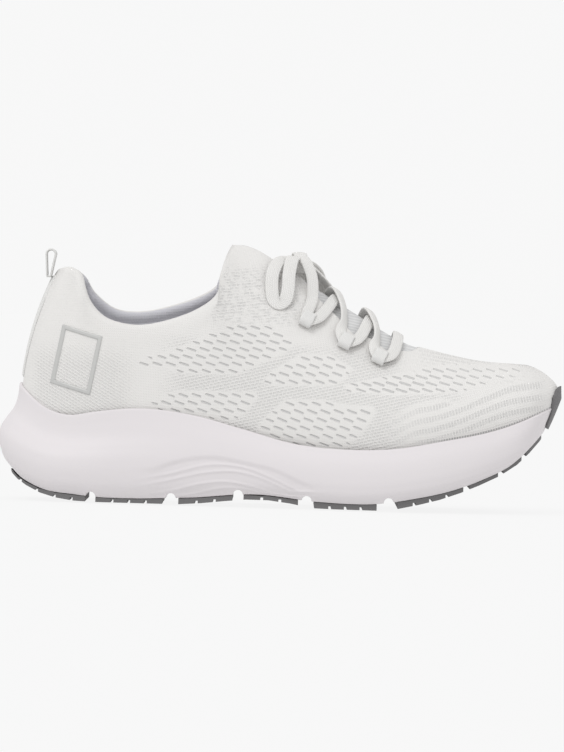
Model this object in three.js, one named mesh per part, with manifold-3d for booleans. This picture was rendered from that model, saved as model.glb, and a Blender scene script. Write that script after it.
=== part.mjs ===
// A right running shoe, modelled as the separate pieces it is assembled from.
//
// Units are millimetres. +X points to the toe, +Y to the medial side (the other foot), +Z up.
// The origin is on the floor, under the middle of the shoe's length and width.
//
// The shoe is described by one plan outline of the sole, walked by a station number t: 0 is the
// back of the heel, 13 the tip of the toe, 1 to 12 the lateral side, and 25 down to 14 the medial
// side. Every other surface is that outline inset by some amount, at some height. The upper is a
// surface over (t, v), where v runs from 0 at the feather edge under the foot to 1 at the topline
// or, in front of the opening, at the crest. Its layers are solids between two depths below it.

import * as THREE from "three";
import Module from "manifold-3d";

const wasm = await Module();
wasm.setup();

// ---------------------------------------------------------------- driving dimensions

const STATIONS = 13; // stations on each side, heel to toe
const LAPS = 2 * STATIONS; // stations all round

// x, lateral half width, medial half width of the sole at its widest level
const OUTLINE = [
  [-140, 0, 0],
  [-134, 21, 21],
  [-116, 36, 36],
  [-93, 41.5, 41],
  [-68, 41, 40],
  [-43, 40.5, 37],
  [-18, 42, 35],
  [7, 45.5, 37.5],
  [32, 49, 42.5],
  [57, 50.8, 47.8],
  [82, 48.3, 50.6],
  [106, 40, 48.4],
  [128, 25, 37.5],
  [138.7, -8, 8],
];

const GAP = 0.3; // between pieces that are glued or sewn face to face
const PAD = 3.5; // greatest thickness of the rubber under the foam
const PAD_INSET = 6.5; // from the sole's widest outline to the edge of the rubber
const KNIT = 1.8; // thickness of the knitted upper
const STIFFENER = 1; // heel counter, toe puff, eyestay tape, gusset
const LINING = 0.8;
const FOAM = 4.2; // collar padding
const BOARD = 2; // strobel board
const SOCKLINER = 4.5;
const TONGUE_TOP = 6.6; // the station where the topline reaches the crest
const LACE_WIDTH = 5.8;
const BOW_WIDTH = 6.6; // the lace in the bow isn't pulled narrow
const LACE_THICKNESS = 1.7;

// Smooth curve through [x, value] pairs: cubic pieces whose slopes come from the neighbours.
function through(pairs) {
  const last = pairs.length - 1;
  const chord = (i) => (pairs[i + 1][1] - pairs[i][1]) / (pairs[i + 1][0] - pairs[i][0]);
  const slopes = pairs.map(([x], i) => {
    if (i === 0) return chord(0);
    if (i === last) return chord(last - 1);
    const before = x - pairs[i - 1][0];
    const after = pairs[i + 1][0] - x;
    return (chord(i - 1) * after + chord(i) * before) / (before + after);
  });
  return (x) => {
    const at = Math.min(Math.max(x, pairs[0][0]), pairs[last][0]);
    let i = 0;
    while (i < last - 1 && at > pairs[i + 1][0]) i += 1;
    const [x0, y0] = pairs[i];
    const [x1, y1] = pairs[i + 1];
    const w = x1 - x0;
    const s = (at - x0) / w;
    const rise = s * s * (3 - 2 * s);
    return y0 + (y1 - y0) * rise + w * s * (1 - s) * (slopes[i] * (1 - s) - slopes[i + 1] * s);
  };
}

// Heights along the shoe, by x.
const soleBottom = through([
  [-140, 23],
  [-132, 13.5],
  [-120, 6.6],
  [-100, 3.4],
  [-45, 3.4],
  [-10, 6],
  [20, 3.4],
  [50, 3.4],
  [67, 6.2],
  [84, 10.2],
  [100, 16],
  [116, 24.5],
  [130, 38],
  [140, 49],
]);
const footbed = through([
  [-130, 37],
  [-70, 35],
  [-30, 31],
  [10, 25],
  [40, 22.5],
  [70, 24.5],
  [100, 31.5],
  [130, 43],
]);
const crest = through([
  [-26.2, 129.3],
  [-20.5, 129.2],
  [-14.2, 127.4],
  [-3, 121],
  [19.5, 107.5],
  [40.5, 95],
  [61.5, 83.4],
  [79.5, 78.6],
  [95.5, 75.4],
  [121, 73.6],
]);
const crestSide = through([
  [-26.2, 0],
  [20, 1],
  [60, 3],
  [121, 6.5],
]);

// Shapes of the sole's rim and of the upper, by station.
const rimHeight = through([
  [0, 57.2],
  [1, 53],
  [2, 43.8],
  [2.5, 42.2],
  [3, 44],
  [4, 46.4],
  [5, 43.8],
  [6, 37.5],
  [7, 31.2],
  [8, 29.2],
  [9, 30.2],
  [10, 34.6],
  [11, 39.7],
  [12, 47.8],
  [13, 55],
]);
const rimInset = through([
  [0, 9.6],
  [2, 7.5],
  [3, 6],
  [5, 4.5],
  [8, 3],
  [11, 3],
  [13, 0.2],
]);
const LIP = 1.4; // thickness of the foam rim around the upper
const FEATHER = 8; // from the upper's widest line in to its feather edge
const OVERHANG = 2.2; // how far the upper's toe stands out over the rim, by station
const overhang = through([
  [0, 0],
  [11.5, 0],
  [12.3, 0.9],
  [13, OVERHANG],
]);
const widestHeight = through([
  [0, 50],
  [2, 47],
  [4, 50],
  [5, 48],
  [7, 41],
  [8, 39],
  [10, 42],
  [11, 47],
  [12, 54],
  [13, 60.5],
]);
const toplineX = through([
  [0, -112],
  [1, -107.5],
  [2, -99],
  [2.5, -94],
  [3, -88],
  [3.5, -80],
  [4, -70],
  [4.5, -58],
  [5, -44.5],
  [5.5, -34],
  [6, -31.4],
  [6.3, -28.6],
  [6.5, -26.8],
  [TONGUE_TOP, -26.2],
]);
const toplineY = through([
  [0, 0],
  [1, 14],
  [2, 23.5],
  [3, 28.5],
  [4, 30],
  [5, 27.5],
  [5.5, 25.5],
  [6, 20.5],
  [6.3, 12.5],
  [6.5, 4.6],
  [TONGUE_TOP, 0],
]);
const toplineZ = through([
  [0, 116.4],
  [1, 116.8],
  [2, 110.5],
  [2.5, 98.8],
  [3, 92.6],
  [3.5, 89.7],
  [4, 89],
  [4.5, 91.5],
  [5, 97],
  [5.5, 105],
  [6, 116.5],
  [6.3, 125.4],
  [6.5, 128.9],
  [TONGUE_TOP, 129.3],
]);
const medialRise = through([
  [1, 0],
  [2, 0.2],
  [2.5, 5],
  [3.5, 5.9],
  [4, 6.7],
  [5, 6.5],
  [5.5, 5],
  [6, 1.6],
  [6.3, 0],
]);
const crestX = through([
  [TONGUE_TOP, -26.2],
  [7, -13.5],
  [8, 22],
  [9, 49],
  [10, 73],
  [11, 92],
  [12, 108],
  [13, 121],
]);
const toplineLean = through([
  [0, 61],
  [2, 68],
  [4, 76],
  [5, 66],
  [6, 34],
  [TONGUE_TOP, 0],
]);
const roundness = through([
  [TONGUE_TOP, 0.38],
  [8, 0.38],
  [10, 0.45],
  [12, 0.49],
  [13, 0.4],
]);

// ---------------------------------------------------------------- small tools

const mix = (a, b, s) => a + (b - a) * s;
const steps = (a, b, n) => Array.from({ length: n + 1 }, (_, i) => mix(a, b, i / n));
const smooth = (a, b, x) => THREE.MathUtils.smoothstep(x, a, b);
const lap = (t) => ((t % LAPS) + LAPS) % LAPS;
const station = (t) => Math.min(lap(t), LAPS - lap(t));
const isMedial = (t) => lap(t) > STATIONS;
const vec = (x, y, z) => new THREE.Vector3(x, y, z);

// A closed solid from points and faces of three or four corners, whichever way round they are.
function solid(points, faces) {
  const numbers = new Map();
  const kept = [];
  const number = points.map((p) => {
    const key = p.toArray().map((c) => Math.round(c * 1e4)).join();
    if (!numbers.has(key)) {
      numbers.set(key, kept.length / 3);
      kept.push(...p.toArray());
    }
    return numbers.get(key);
  });
  const corners = [];
  for (const face of faces) {
    for (let i = 2; i < face.length; i += 1) {
      const [a, b, c] = [number[face[0]], number[face[i - 1]], number[face[i]]];
      if (a !== b && b !== c && c !== a) corners.push([a, b, c]);
    }
  }
  const make = (list) =>
    new wasm.Manifold(
      new wasm.Mesh({
        numProp: 3,
        vertProperties: new Float32Array(kept),
        triVerts: new Uint32Array(list.flat()),
      }),
    );
  const made = make(corners);
  return made.volume() < 0 ? make(corners.map(([a, b, c]) => [c, b, a])) : made;
}

// A closed solid from a three.js geometry, placed by an optional matrix.
function solidOf(geometry, matrix = new THREE.Matrix4()) {
  const flat = geometry.index ? geometry.toNonIndexed() : geometry.clone();
  flat.applyMatrix4(matrix);
  const at = flat.getAttribute("position");
  const points = steps(0, at.count - 1, at.count - 1).map((i) =>
    vec().fromBufferAttribute(at, Math.round(i)),
  );
  const faces = Array.from({ length: at.count / 3 }, (_, i) => [3 * i, 3 * i + 1, 3 * i + 2]);
  return solid(points, faces);
}

// A solid between two grids of points, outer and inner, each a list of columns of the same height.
// loop joins the last column to the first. Each border gets a wall unless it is left out, and a
// border that closes on itself, such as the crest, needs none.
function between(outer, inner, { loop = false, low = () => true, high = () => true, ends = true } = {}) {
  const columns = outer.length;
  const rows = outer[0].length;
  const points = [...outer.flat(), ...inner.flat()];
  const o = (i, j) => (i % columns) * rows + j;
  const n = (i, j) => columns * rows + o(i, j);
  const faces = [];
  for (let i = 0; i < (loop ? columns : columns - 1); i += 1) {
    for (let j = 0; j < rows - 1; j += 1) {
      faces.push([o(i, j), o(i + 1, j), o(i + 1, j + 1), o(i, j + 1)]);
      faces.push([n(i, j), n(i, j + 1), n(i + 1, j + 1), n(i + 1, j)]);
    }
    if (low(i)) faces.push([o(i, 0), n(i, 0), n(i + 1, 0), o(i + 1, 0)]);
    if (high(i)) {
      faces.push([o(i, rows - 1), o(i + 1, rows - 1), n(i + 1, rows - 1), n(i, rows - 1)]);
    }
  }
  if (!loop && ends) {
    for (let j = 0; j < rows - 1; j += 1) {
      const e = columns - 1;
      faces.push([o(0, j), o(0, j + 1), n(0, j + 1), n(0, j)]);
      faces.push([o(e, j), n(e, j), n(e, j + 1), o(e, j + 1)]);
    }
  }
  return solid(points, faces);
}

const largest = (shape) => shape.decompose().sort((a, b) => b.volume() - a.volume())[0];

const shoe = new THREE.Group();
const solids = {};

function add(name, shape, material) {
  const mesh = shape.getMesh();
  const stride = mesh.numProp;
  const points = new Float32Array(mesh.numVert * 3);
  for (let i = 0; i < mesh.numVert; i += 1) {
    points.set(mesh.vertProperties.subarray(i * stride, i * stride + 3), i * 3);
  }
  const geometry = new THREE.BufferGeometry()
    .setAttribute("position", new THREE.BufferAttribute(points, 3))
    .setIndex(new THREE.BufferAttribute(mesh.triVerts, 1));
  geometry.computeVertexNormals();
  const made = new THREE.Mesh(geometry, material);
  made.name = name;
  solids[name] = shape;
  shoe.add(made);
}

const finish = (color, roughness) => new THREE.MeshStandardMaterial({ color, roughness, metalness: 0 });
const KNIT_WHITE = finish(0xe8e6df, 0.9);
const LINING_GREY = finish(0xd6d8de, 0.85);
const FOAM_WHITE = finish(0xe5e2e3, 0.55);
const RUBBER_GREY = finish(0x7d7b7c, 0.75);
const WEBBING_WHITE = finish(0xeeece8, 0.8);
const FILM_SILVER = finish(0xbebebb, 0.4);
const BOARD_WHITE = finish(0xd9d7d0, 0.9);
const PLASTIC_WHITE = finish(0xe0e0e0, 0.4);

// ---------------------------------------------------------------- the sole

const outline = new THREE.CatmullRomCurve3(
  [
    ...OUTLINE.map(([x, lateral]) => vec(x, -lateral, 0)),
    ...OUTLINE.slice(1, -1).reverse().map(([x, , medial]) => vec(x, medial, 0)),
  ],
  true,
  "catmullrom",
);

// The inward direction of the outline at a station.
function inward(t) {
  const along = outline.getTangent(lap(t) / LAPS);
  return vec(-along.y, along.x, 0).normalize();
}

// A point inset from the outline.
function inset(t, distance, z) {
  const p = outline.getPoint(lap(t) / LAPS).addScaledVector(inward(t), distance);
  return vec(p.x, p.y, z ?? p.z);
}

// How far the sole's side lies inside its widest outline, by height from its bottom edge to its rim.
const heelSide = through([
  [0, 7],
  [0.1, 3.2],
  [0.22, 1],
  [0.38, 0],
  [0.47, 0.5],
  [0.58, 3],
  [0.71, 6.6],
  [0.85, 8.3],
  [1, 8.9],
]);
const foreSide = through([
  [0, 6],
  [0.12, 2.4],
  [0.3, 0.5],
  [0.5, 0],
  [0.75, 0.7],
  [1, 3],
]);

function soleSide(t, f, grow = 0) {
  const k = station(t);
  const heel = 1 - smooth(1.5, 6, k);
  const toRim = rimInset(k) - mix(3, 8.9, heel);
  const usual = mix(foreSide(f), heelSide(f), heel) + toRim * smooth(0.4, 1, f);
  const distance = mix(usual, mix(foreSide(0), rimInset(k), f), smooth(11, 12.8, k));
  const p = inset(t, distance - grow);
  const bottom = soleBottom(inset(t, foreSide(0)).x);
  return p.setZ(mix(bottom - grow, rimHeight(k) + grow, f));
}

const SOLE_LEVELS = [0, 0.1, 0.22, 0.38, 0.47, 0.58, 0.71, 0.85, 1];
const SOLE_STATIONS = steps(0, LAPS, 60).slice(0, -1);

// Joins each lateral point of a closed ring to the medial one across it, as the faces of a lid.
function lid(first, count) {
  const faces = [];
  for (let i = 0; i < count / 2; i += 1) {
    const across = (j) => first + ((count - j) % count);
    faces.push([first + i, first + i + 1, across(i + 1), across(i)]);
  }
  return faces;
}

// The block of foam before the last is sunk in it, grown all round by an amount.
function soleBlock(grow = 0) {
  const rings = SOLE_LEVELS.map((f) => SOLE_STATIONS.map((t) => soleSide(t, f, grow)));
  const count = SOLE_STATIONS.length;
  const faces = [];
  for (let r = 0; r < rings.length - 1; r += 1) {
    for (let i = 0; i < count; i += 1) {
      const next = (i + 1) % count;
      faces.push([r * count + i, r * count + next, (r + 1) * count + next, (r + 1) * count + i]);
    }
  }
  faces.push(...lid((rings.length - 1) * count, count));
  faces.push(...lid(0, count).map((f) => f.reverse()));
  return solid(rings.flat(), faces);
}

// ---------------------------------------------------------------- the upper's surface

const CREST_END = STATIONS;
const opensAt = (t) => station(t) < TONGUE_TOP - 1e-9;

function topPoint(t) {
  const k = station(t);
  const side = isMedial(t) ? 1 : -1;
  if (k >= TONGUE_TOP) {
    const x = crestX(k);
    return vec(x, crestSide(x), crest(x));
  }
  const rise = isMedial(t) ? medialRise(k) : 0;
  return vec(toplineX(k), side * toplineY(k), toplineZ(k) + rise);
}

function topDirection(t) {
  const k = station(t);
  const side = isMedial(t) ? 1 : -1;
  const normal = inward(t);
  if (k >= TONGUE_TOP) {
    const x = crestX(k);
    const slope = (crest(x + 0.5) - crest(x - 0.5)) / 1;
    const turn = smooth(10.5, CREST_END, k);
    const flat = vec(0, -side, 0).lerp(normal, turn).normalize();
    return vec(flat.x, flat.y, flat.x * slope).normalize();
  }
  const toSide = smooth(3, 5, k);
  const flat = vec(normal.x, normal.y, 0).lerp(vec(0, -side, 0), toSide).normalize();
  const lean = THREE.MathUtils.degToRad(toplineLean(k));
  return flat.multiplyScalar(Math.cos(lean)).setZ(Math.sin(lean));
}

const WIDEST = 0.22; // v at the upper's widest line

function upperPoint(t, v) {
  const k = station(t);
  const widest = inset(t, rimInset(k) + LIP - overhang(k), widestHeight(k));
  if (v < WIDEST) {
    const edge = inset(t, rimInset(k) + LIP + FEATHER);
    edge.z = footbed(edge.x);
    const out = inward(t).multiplyScalar(-0.6 * FEATHER);
    const down = 0.55 * (widest.z - edge.z);
    const below = vec(widest.x, widest.y, widest.z - down);
    return new THREE.CubicBezierCurve3(edge, edge.clone().add(out), below, widest).getPoint(v / WIDEST);
  }
  const top = topPoint(t);
  const arch = smooth(4.5, TONGUE_TOP, k);
  const round = roundness(k);
  const up = (top.z - widest.z) * mix(0.34, round, arch);
  const across = Math.hypot(top.x - widest.x, top.y - widest.y);
  const reach = mix(0.3 * (top.z - widest.z), round * across, arch);
  const rising = vec(widest.x, widest.y, widest.z + up);
  const arriving = top.clone().addScaledVector(topDirection(t), -reach);
  return new THREE.CubicBezierCurve3(widest, rising, arriving, top).getPoint((v - WIDEST) / (1 - WIDEST));
}

// The upper's outward direction.
function upperNormal(t, v) {
  const k = station(t);
  if (v > 1 - 1e-6 && k >= TONGUE_TOP) {
    const x = crestX(k);
    return vec(crest(x - 0.5) - crest(x + 0.5), 0, 1).normalize();
  }
  const e = 1e-3;
  const along = upperPoint(t + e, Math.min(v, 1 - e)).sub(upperPoint(t - e, Math.min(v, 1 - e)));
  const up = upperPoint(t, Math.min(v + e, 1)).sub(upperPoint(t, Math.max(v - e, 0)));
  return along.cross(up).normalize();
}

// A point at a depth below the upper's surface; a negative depth is outside it.
const atDepth = (t, v, depth) => upperPoint(t, v).addScaledVector(upperNormal(t, v), -depth);

const HALF_RING = [...steps(0, 6, 15), 6.2, 6.4, TONGUE_TOP, 6.85, ...steps(7.2, CREST_END, 12)];
const RING = [...HALF_RING, ...HALF_RING.slice(1, -1).reverse().map((k) => LAPS - k)];
const ROWS = [0, 0.08, 0.15, WIDEST, 0.31, 0.41, 0.51, 0.61, 0.7, 0.73, 0.82, 0.91, 1];

const grid = (stations, rows, depth) =>
  stations.map((t) => rows.map((v) => atDepth(t, v, typeof depth === "function" ? depth(t, v) : depth)));

// Everything inside the upper's surface at a depth, as one closed solid.
function inside(depth) {
  const columns = grid(RING, ROWS, depth);
  const count = RING.length;
  const rows = ROWS.length;
  const points = ROWS.flatMap((_, j) => columns.map((c) => c[j]));
  const faces = [];
  for (let j = 0; j < rows - 1; j += 1) {
    for (let i = 0; i < count; i += 1) {
      const next = (i + 1) % count;
      faces.push([j * count + i, j * count + next, (j + 1) * count + next, (j + 1) * count + i]);
    }
  }
  faces.push(...lid(0, count).map((f) => f.reverse()));
  const openPairs = RING.findIndex((t) => t >= TONGUE_TOP - 1e-9);
  faces.push(...lid((rows - 1) * count, count).slice(0, openPairs));
  return solid(points, faces);
}

// A layer of the whole upper between two depths.
function layer(outer, inner, rows = ROWS) {
  return between(grid(RING, rows, outer), grid(RING, rows, inner), {
    loop: true,
    high: (i) => opensAt(RING[i]) || opensAt(RING[(i + 1) % RING.length]),
  });
}

// A patch of one layer over some stations and rows.
const patch = (stations, rows, outer, inner) =>
  between(grid(stations, rows, outer), grid(stations, rows, inner));

// A patch that crosses the crest from one row on the lateral side to the same row on the medial.
// A patch whose last station is the toe closes on itself there.
function acrossCrest(stations, from, outer, inner) {
  const rise = ROWS.filter((v) => v >= from);
  const toToe = stations[stations.length - 1] === CREST_END;
  const column = (k, depth) => [
    ...rise.map((v) => atDepth(k, v, depth)),
    ...rise.slice(0, -1).reverse().map((v) => atDepth(LAPS - k, v, depth)),
  ];
  const outerGrid = stations.map((k) => column(k, outer));
  const innerGrid = stations.map((k) => column(k, inner));
  if (!toToe) return between(outerGrid, innerGrid);
  const columns = outerGrid.length;
  const rows = outerGrid[0].length;
  const points = [...outerGrid.flat(), ...innerGrid.flat()];
  const o = (i, j) => i * rows + j;
  const n = (i, j) => columns * rows + o(i, j);
  const faces = [];
  for (let i = 0; i < columns - 1; i += 1) {
    for (let j = 0; j < rows - 1; j += 1) {
      faces.push([o(i, j), o(i + 1, j), o(i + 1, j + 1), o(i, j + 1)]);
      faces.push([n(i, j), n(i, j + 1), n(i + 1, j + 1), n(i + 1, j)]);
    }
    faces.push([o(i, 0), n(i, 0), n(i + 1, 0), o(i + 1, 0)]);
    faces.push([o(i, rows - 1), o(i + 1, rows - 1), n(i + 1, rows - 1), n(i, rows - 1)]);
  }
  for (let j = 0; j < rows - 1; j += 1) faces.push([o(0, j), o(0, j + 1), n(0, j + 1), n(0, j)]);
  return solid(points, faces);
}

// The station and row of the upper that show at x and z in a side view.
function onSide(x, z, medial) {
  let best = { error: Infinity };
  for (const k of steps(0, CREST_END, 260)) {
    for (const v of steps(WIDEST, 1, 60)) {
      const t = medial ? LAPS - k : k;
      const p = upperPoint(t, v);
      const error = (p.x - x) ** 2 + (p.z - z) ** 2;
      if (error < best.error) best = { error, t, v };
    }
  }
  return best;
}

// ---------------------------------------------------------------- midsole

const FLEX_GROOVES = [-92.5, -52.8, -19.6, 14.4, 54.8]; // x of the round grooves across the foam
const GROOVE_RADIUS = 2.4;

const last = inside(-GAP - 0.05);

function bar(x, z, radius) {
  const place = new THREE.Matrix4().makeTranslation(x, 0, z);
  return solidOf(new THREE.CylinderGeometry(radius, radius, 130, 14), place);
}

let midsole = soleBlock().subtract(last);
for (const x of FLEX_GROOVES) midsole = midsole.subtract(bar(x, soleBottom(x), GROOVE_RADIUS));
add("midsole", midsole, FOAM_WHITE);

// ---------------------------------------------------------------- outsole rubber

// The rubber is thickest where the sole stands, and thins up the heel and the toe.
const padThickness = through([
  [-134, 1.1],
  [-120, 1.9],
  [-106, 2.9],
  [-94, PAD],
  [-52, 3.2],
  [-26, 2.8],
  [-8, 2.4],
  [8, 2.6],
  [19, PAD],
  [62, PAD],
  [76, 3],
  [95, 2.1],
  [138, 1.5],
]);
const treadBottom = (x) => Math.max(0, soleBottom(x) - padThickness(x));

// All the rubber in one slab, before it is cut into pads.
function treadSlab() {
  const edge = SOLE_STATIONS.map((t) => inset(t, PAD_INSET));
  const count = edge.length;
  const top = edge.map((p) => vec(p.x, p.y, soleBottom(p.x) - GAP));
  const bottom = edge.map((p) => {
    const slope = soleBottom(p.x + 1) - soleBottom(p.x - 1);
    return vec(p.x, p.y, Math.max(0, soleBottom(p.x) - padThickness(p.x) * Math.hypot(1, slope / 2)));
  });
  const faces = [];
  for (let i = 0; i < count; i += 1) {
    faces.push([i, (i + 1) % count, count + ((i + 1) % count), count + i]);
  }
  faces.push(...lid(count, count), ...lid(0, count).map((f) => f.reverse()));
  return solid([...top, ...bottom], faces);
}

const box = (x0, x1, y0, y1, z0, z1) =>
  solidOf(
    new THREE.BoxGeometry(x1 - x0, y1 - y0, z1 - z0),
    new THREE.Matrix4().makeTranslation((x0 + x1) / 2, (y0 + y1) / 2, (z0 + z1) / 2),
  );

const slab = treadSlab();
const SIPE = 1.4; // width and depth of the fine grooves in the rubber

// A fine groove across the rubber.
function sipe(x) {
  const floor = treadBottom(x);
  return box(x - SIPE / 2, x + SIPE / 2, -70, 70, floor - 4, floor + Math.min(SIPE, padThickness(x) * 0.45));
}

// A pad of rubber between x0 and x1 and y0 and y1, with fine grooves across it.
function pad(x0, x1, y0, y1, sipes) {
  let made = slab.intersect(box(x0, x1, y0, y1, -5, 70));
  for (let i = 1; i <= sipes; i += 1) made = made.subtract(sipe(mix(x0, x1, i / (sipes + 1))));
  return made;
}

const FAR = 80;
let heelStrike = pad(-FAR * 2, -95.2, -FAR, FAR, 0).subtract(box(-116, -88, -5, 5, -5, 70));
for (const x of [-128, -119.5, -110.5, -102]) heelStrike = heelStrike.subtract(sipe(x));
add("heel_strike_pad", heelStrike, RUBBER_GREY);
for (const [side, y0, y1] of [["lateral", -FAR, -7], ["medial", 7, FAR]]) {
  add(`heel_pad_${side}`, pad(-90, -57, y0, y1, 3), RUBBER_GREY);
  add(`arch_rear_pad_${side}`, pad(-49, -22.3, y0, y1, 2), RUBBER_GREY);
  add(`arch_front_pad_${side}`, pad(-16.8, 10.2, y0, y1, 2), RUBBER_GREY);
}
add("ball_pad", pad(18.2, 49, -FAR, FAR, 3), RUBBER_GREY);
add("forefoot_pad", pad(59.4, 91.6, -FAR, FAR, 3), RUBBER_GREY);
add("toe_pad_1", pad(94.8, 108.8, -FAR, FAR, 0), RUBBER_GREY);
add("toe_pad_2", pad(111.5, 120.5, -FAR, FAR, 0), RUBBER_GREY);
add("toe_pad_3", pad(122.8, 131, -FAR, FAR, 0), RUBBER_GREY);

// The rubber that wraps up over the tip of the toe.
const WRAP = { top: 2.4, bottom: 1.2, edge: 0.7, half: 0.46 }; // thicknesses, and stations from the tip
const WRAP_TOP = 62.5;
{
  const columns = steps(CREST_END - WRAP.half * 0.93, CREST_END + WRAP.half * 0.93, 12);
  const profile = (t, outer) => {
    const shrink = Math.sqrt(1 - ((t - CREST_END) / WRAP.half) ** 2);
    const low = mix(0.55, 0.12, shrink);
    const thick = (f) => (outer ? mix(WRAP.edge, mix(WRAP.bottom, WRAP.top, f), shrink) : -1);
    const rise = [low, 0.4, 0.6, 0.8].map((f) => soleSide(t, Math.max(f, low), thick(f)));
    const highest = mix(rimHeight(station(t)), WRAP_TOP, shrink);
    let v = WIDEST;
    while (upperPoint(t, v).z < highest && v < 0.9) v += 0.01;
    return [...rise, soleSide(t, 1, thick(1)), atDepth(t, v, -0.2 - thick(outer ? 0.5 : 1))];
  };
  const outer = columns.map((t) => profile(t, true));
  const inner = columns.map((t) => profile(t, false));
  const wrap = between(outer, inner).subtract(soleBlock(GAP)).subtract(inside(-GAP * 2));
  add("toe_wrap", largest(wrap), RUBBER_GREY);
}

// ---------------------------------------------------------------- layers of the upper

// Every layer thins towards the feather edge, where the stack lies flat on the footbed.
const thin = (v) => mix(0.5, 1, smooth(0, WIDEST, v));
const knitInner = (t, v) => KNIT * thin(v);
const stiffOuter = KNIT + GAP;
const stiffInner = stiffOuter + STIFFENER;

// How much of the collar padding is behind a point: it fills a pocket under the topline.
function padding(t, v) {
  const k = station(t);
  const round = 1 - smooth(5.2, 6.3, k);
  const low = mix(0.5, 0.62, smooth(1, 4, k));
  return round * smooth(low, low + 0.16, v) * (1 - smooth(0.86, 1, v));
}
const liningOuter = (t, v) => {
  const usual = (stiffInner + GAP) * thin(v);
  const edge = opensAt(t) || station(t) < TONGUE_TOP + 0.6 ? smooth(0.86, 1, v) : 0;
  const slack = 1 - smooth(TONGUE_TOP, TONGUE_TOP + 0.6, station(t));
  return mix(usual, stiffOuter, edge * slack) + padding(t, v) * (FOAM - STIFFENER);
};
const liningInner = (t, v) => liningOuter(t, v) + LINING * thin(v);

const THROAT = { rear: 11, front: 67, rearHalf: 17.5, frontHalf: 11 };

// A tall prism over the throat, square to the crest, with a rounded outline.
function throatCutter() {
  const { rear, front, rearHalf, frontHalf } = THROAT;
  const shape = new THREE.Shape();
  const length = Math.hypot(front - rear, crest(front) - crest(rear));
  shape.moveTo(0, -rearHalf * 0.6);
  shape.quadraticCurveTo(0, -rearHalf, rearHalf * 0.8, -rearHalf);
  shape.lineTo(length - frontHalf, -frontHalf);
  shape.absarc(length - frontHalf, 0, frontHalf, -Math.PI / 2, Math.PI / 2, false);
  shape.lineTo(rearHalf * 0.8, rearHalf);
  shape.quadraticCurveTo(0, rearHalf, 0, rearHalf * 0.6);
  const prism = new THREE.ExtrudeGeometry(shape, { depth: 30, bevelEnabled: false, curveSegments: 8 });
  const along = vec(front - rear, 0, crest(front) - crest(rear)).normalize();
  const side = vec(0, 1, 0);
  const up = along.clone().cross(side);
  const start = vec(rear, crestSide(rear), crest(rear)).addScaledVector(up, -15);
  return solidOf(prism, new THREE.Matrix4().makeBasis(along, side, up).setPosition(start));
}

add("upper_knit", layer(0, knitInner).subtract(throatCutter()), KNIT_WHITE);
add("lining", layer(liningOuter, liningInner), LINING_GREY);

const stationsBetween = (a, b) => RING.filter((t) => t > a && t < b);
const rowsBetween = (a, b) => ROWS.filter((v) => v > a && v < b);

add("throat_gusset", acrossCrest(stationsBetween(7.35, 10.4), 0.6, stiffOuter, stiffInner), LINING_GREY);
add("toe_puff", acrossCrest(stationsBetween(11, CREST_END + 0.1), 0.3, stiffOuter, stiffInner), BOARD_WHITE);
{
  const foamInner = (t, v) => Math.max(stiffOuter + 0.4, liningOuter(t, v) - GAP);
  const around = (reach) => {
    const half = stationsBetween(-0.1, reach);
    return [...half.slice(1).reverse().map((k) => -k), ...half];
  };
  const counterRows = rowsBetween(0.2, 0.52);
  add("heel_counter", patch(around(3.7), counterRows, stiffOuter, stiffInner), BOARD_WHITE);
  add("collar_foam", patch(around(5.5), rowsBetween(0.6, 0.92), stiffOuter, foamInner), BOARD_WHITE);
}
for (const [side, from, to] of [["lateral", 7.35, 10.3], ["medial", LAPS - 10.3, LAPS - 7.35]]) {
  const tape = patch(stationsBetween(from, to), rowsBetween(0.4, 0.52), stiffOuter, stiffInner);
  add(`eyestay_tape_${side}`, tape, WEBBING_WHITE);
}

// The board that closes the upper under the foot, and the removable insole on it.
const boardTop = (x) => footbed(x) + BOARD;
function underfoot(distance, bottom, top) {
  const edge = SOLE_STATIONS.map((t) => inset(t, rimInset(station(t)) + LIP + distance));
  const count = edge.length;
  const faces = [];
  for (let i = 0; i < count; i += 1) {
    faces.push([i, (i + 1) % count, count + ((i + 1) % count), count + i]);
  }
  faces.push(...lid(count, count), ...lid(0, count).map((f) => f.reverse()));
  const at = (height) => edge.map((p) => vec(p.x, p.y, height(p.x)));
  return solid([...at(bottom), ...at(top)], faces);
}
add("strobel_board", underfoot(FEATHER + GAP * 2, (x) => footbed(x), boardTop), BOARD_WHITE);

const foot = inside((t, v) => liningInner(t, v) + GAP * 1.5);
const sockliner = underfoot(
  1,
  (x) => boardTop(x) + GAP * 1.5,
  (x) => boardTop(x) + GAP * 1.5 + SOCKLINER,
).intersect(foot);
add("sockliner", sockliner, LINING_GREY);

// ---------------------------------------------------------------- lace loops

const LOOP = { wide: 6.4, tall: 8.8, deep: 4.6, wall: 1 };
const LOOP_PLACES = [
  [12.3, 92.2],
  [30.6, 81.6],
  [47.8, 73.6],
]; // x and z of each loop in a side view, from the ankle down
const EYESTAY_LIFT = LOOP.deep / 2 + GAP;

// Where a loop sits: its centre, and its directions towards the toe, up the side and outwards.
function loopFrame([x, z], medial) {
  const { t, v } = onSide(x, z, medial);
  const out = upperNormal(t, v);
  const forward = vec(LOOP_PLACES[2][0] - LOOP_PLACES[0][0], 0, LOOP_PLACES[2][1] - LOOP_PLACES[0][1]);
  forward.addScaledVector(out, -forward.dot(out)).normalize();
  const up = out.clone().cross(forward).normalize();
  if (up.z < 0) up.negate();
  return { at: upperPoint(t, v).addScaledVector(out, EYESTAY_LIFT), forward, up, out };
}

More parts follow.
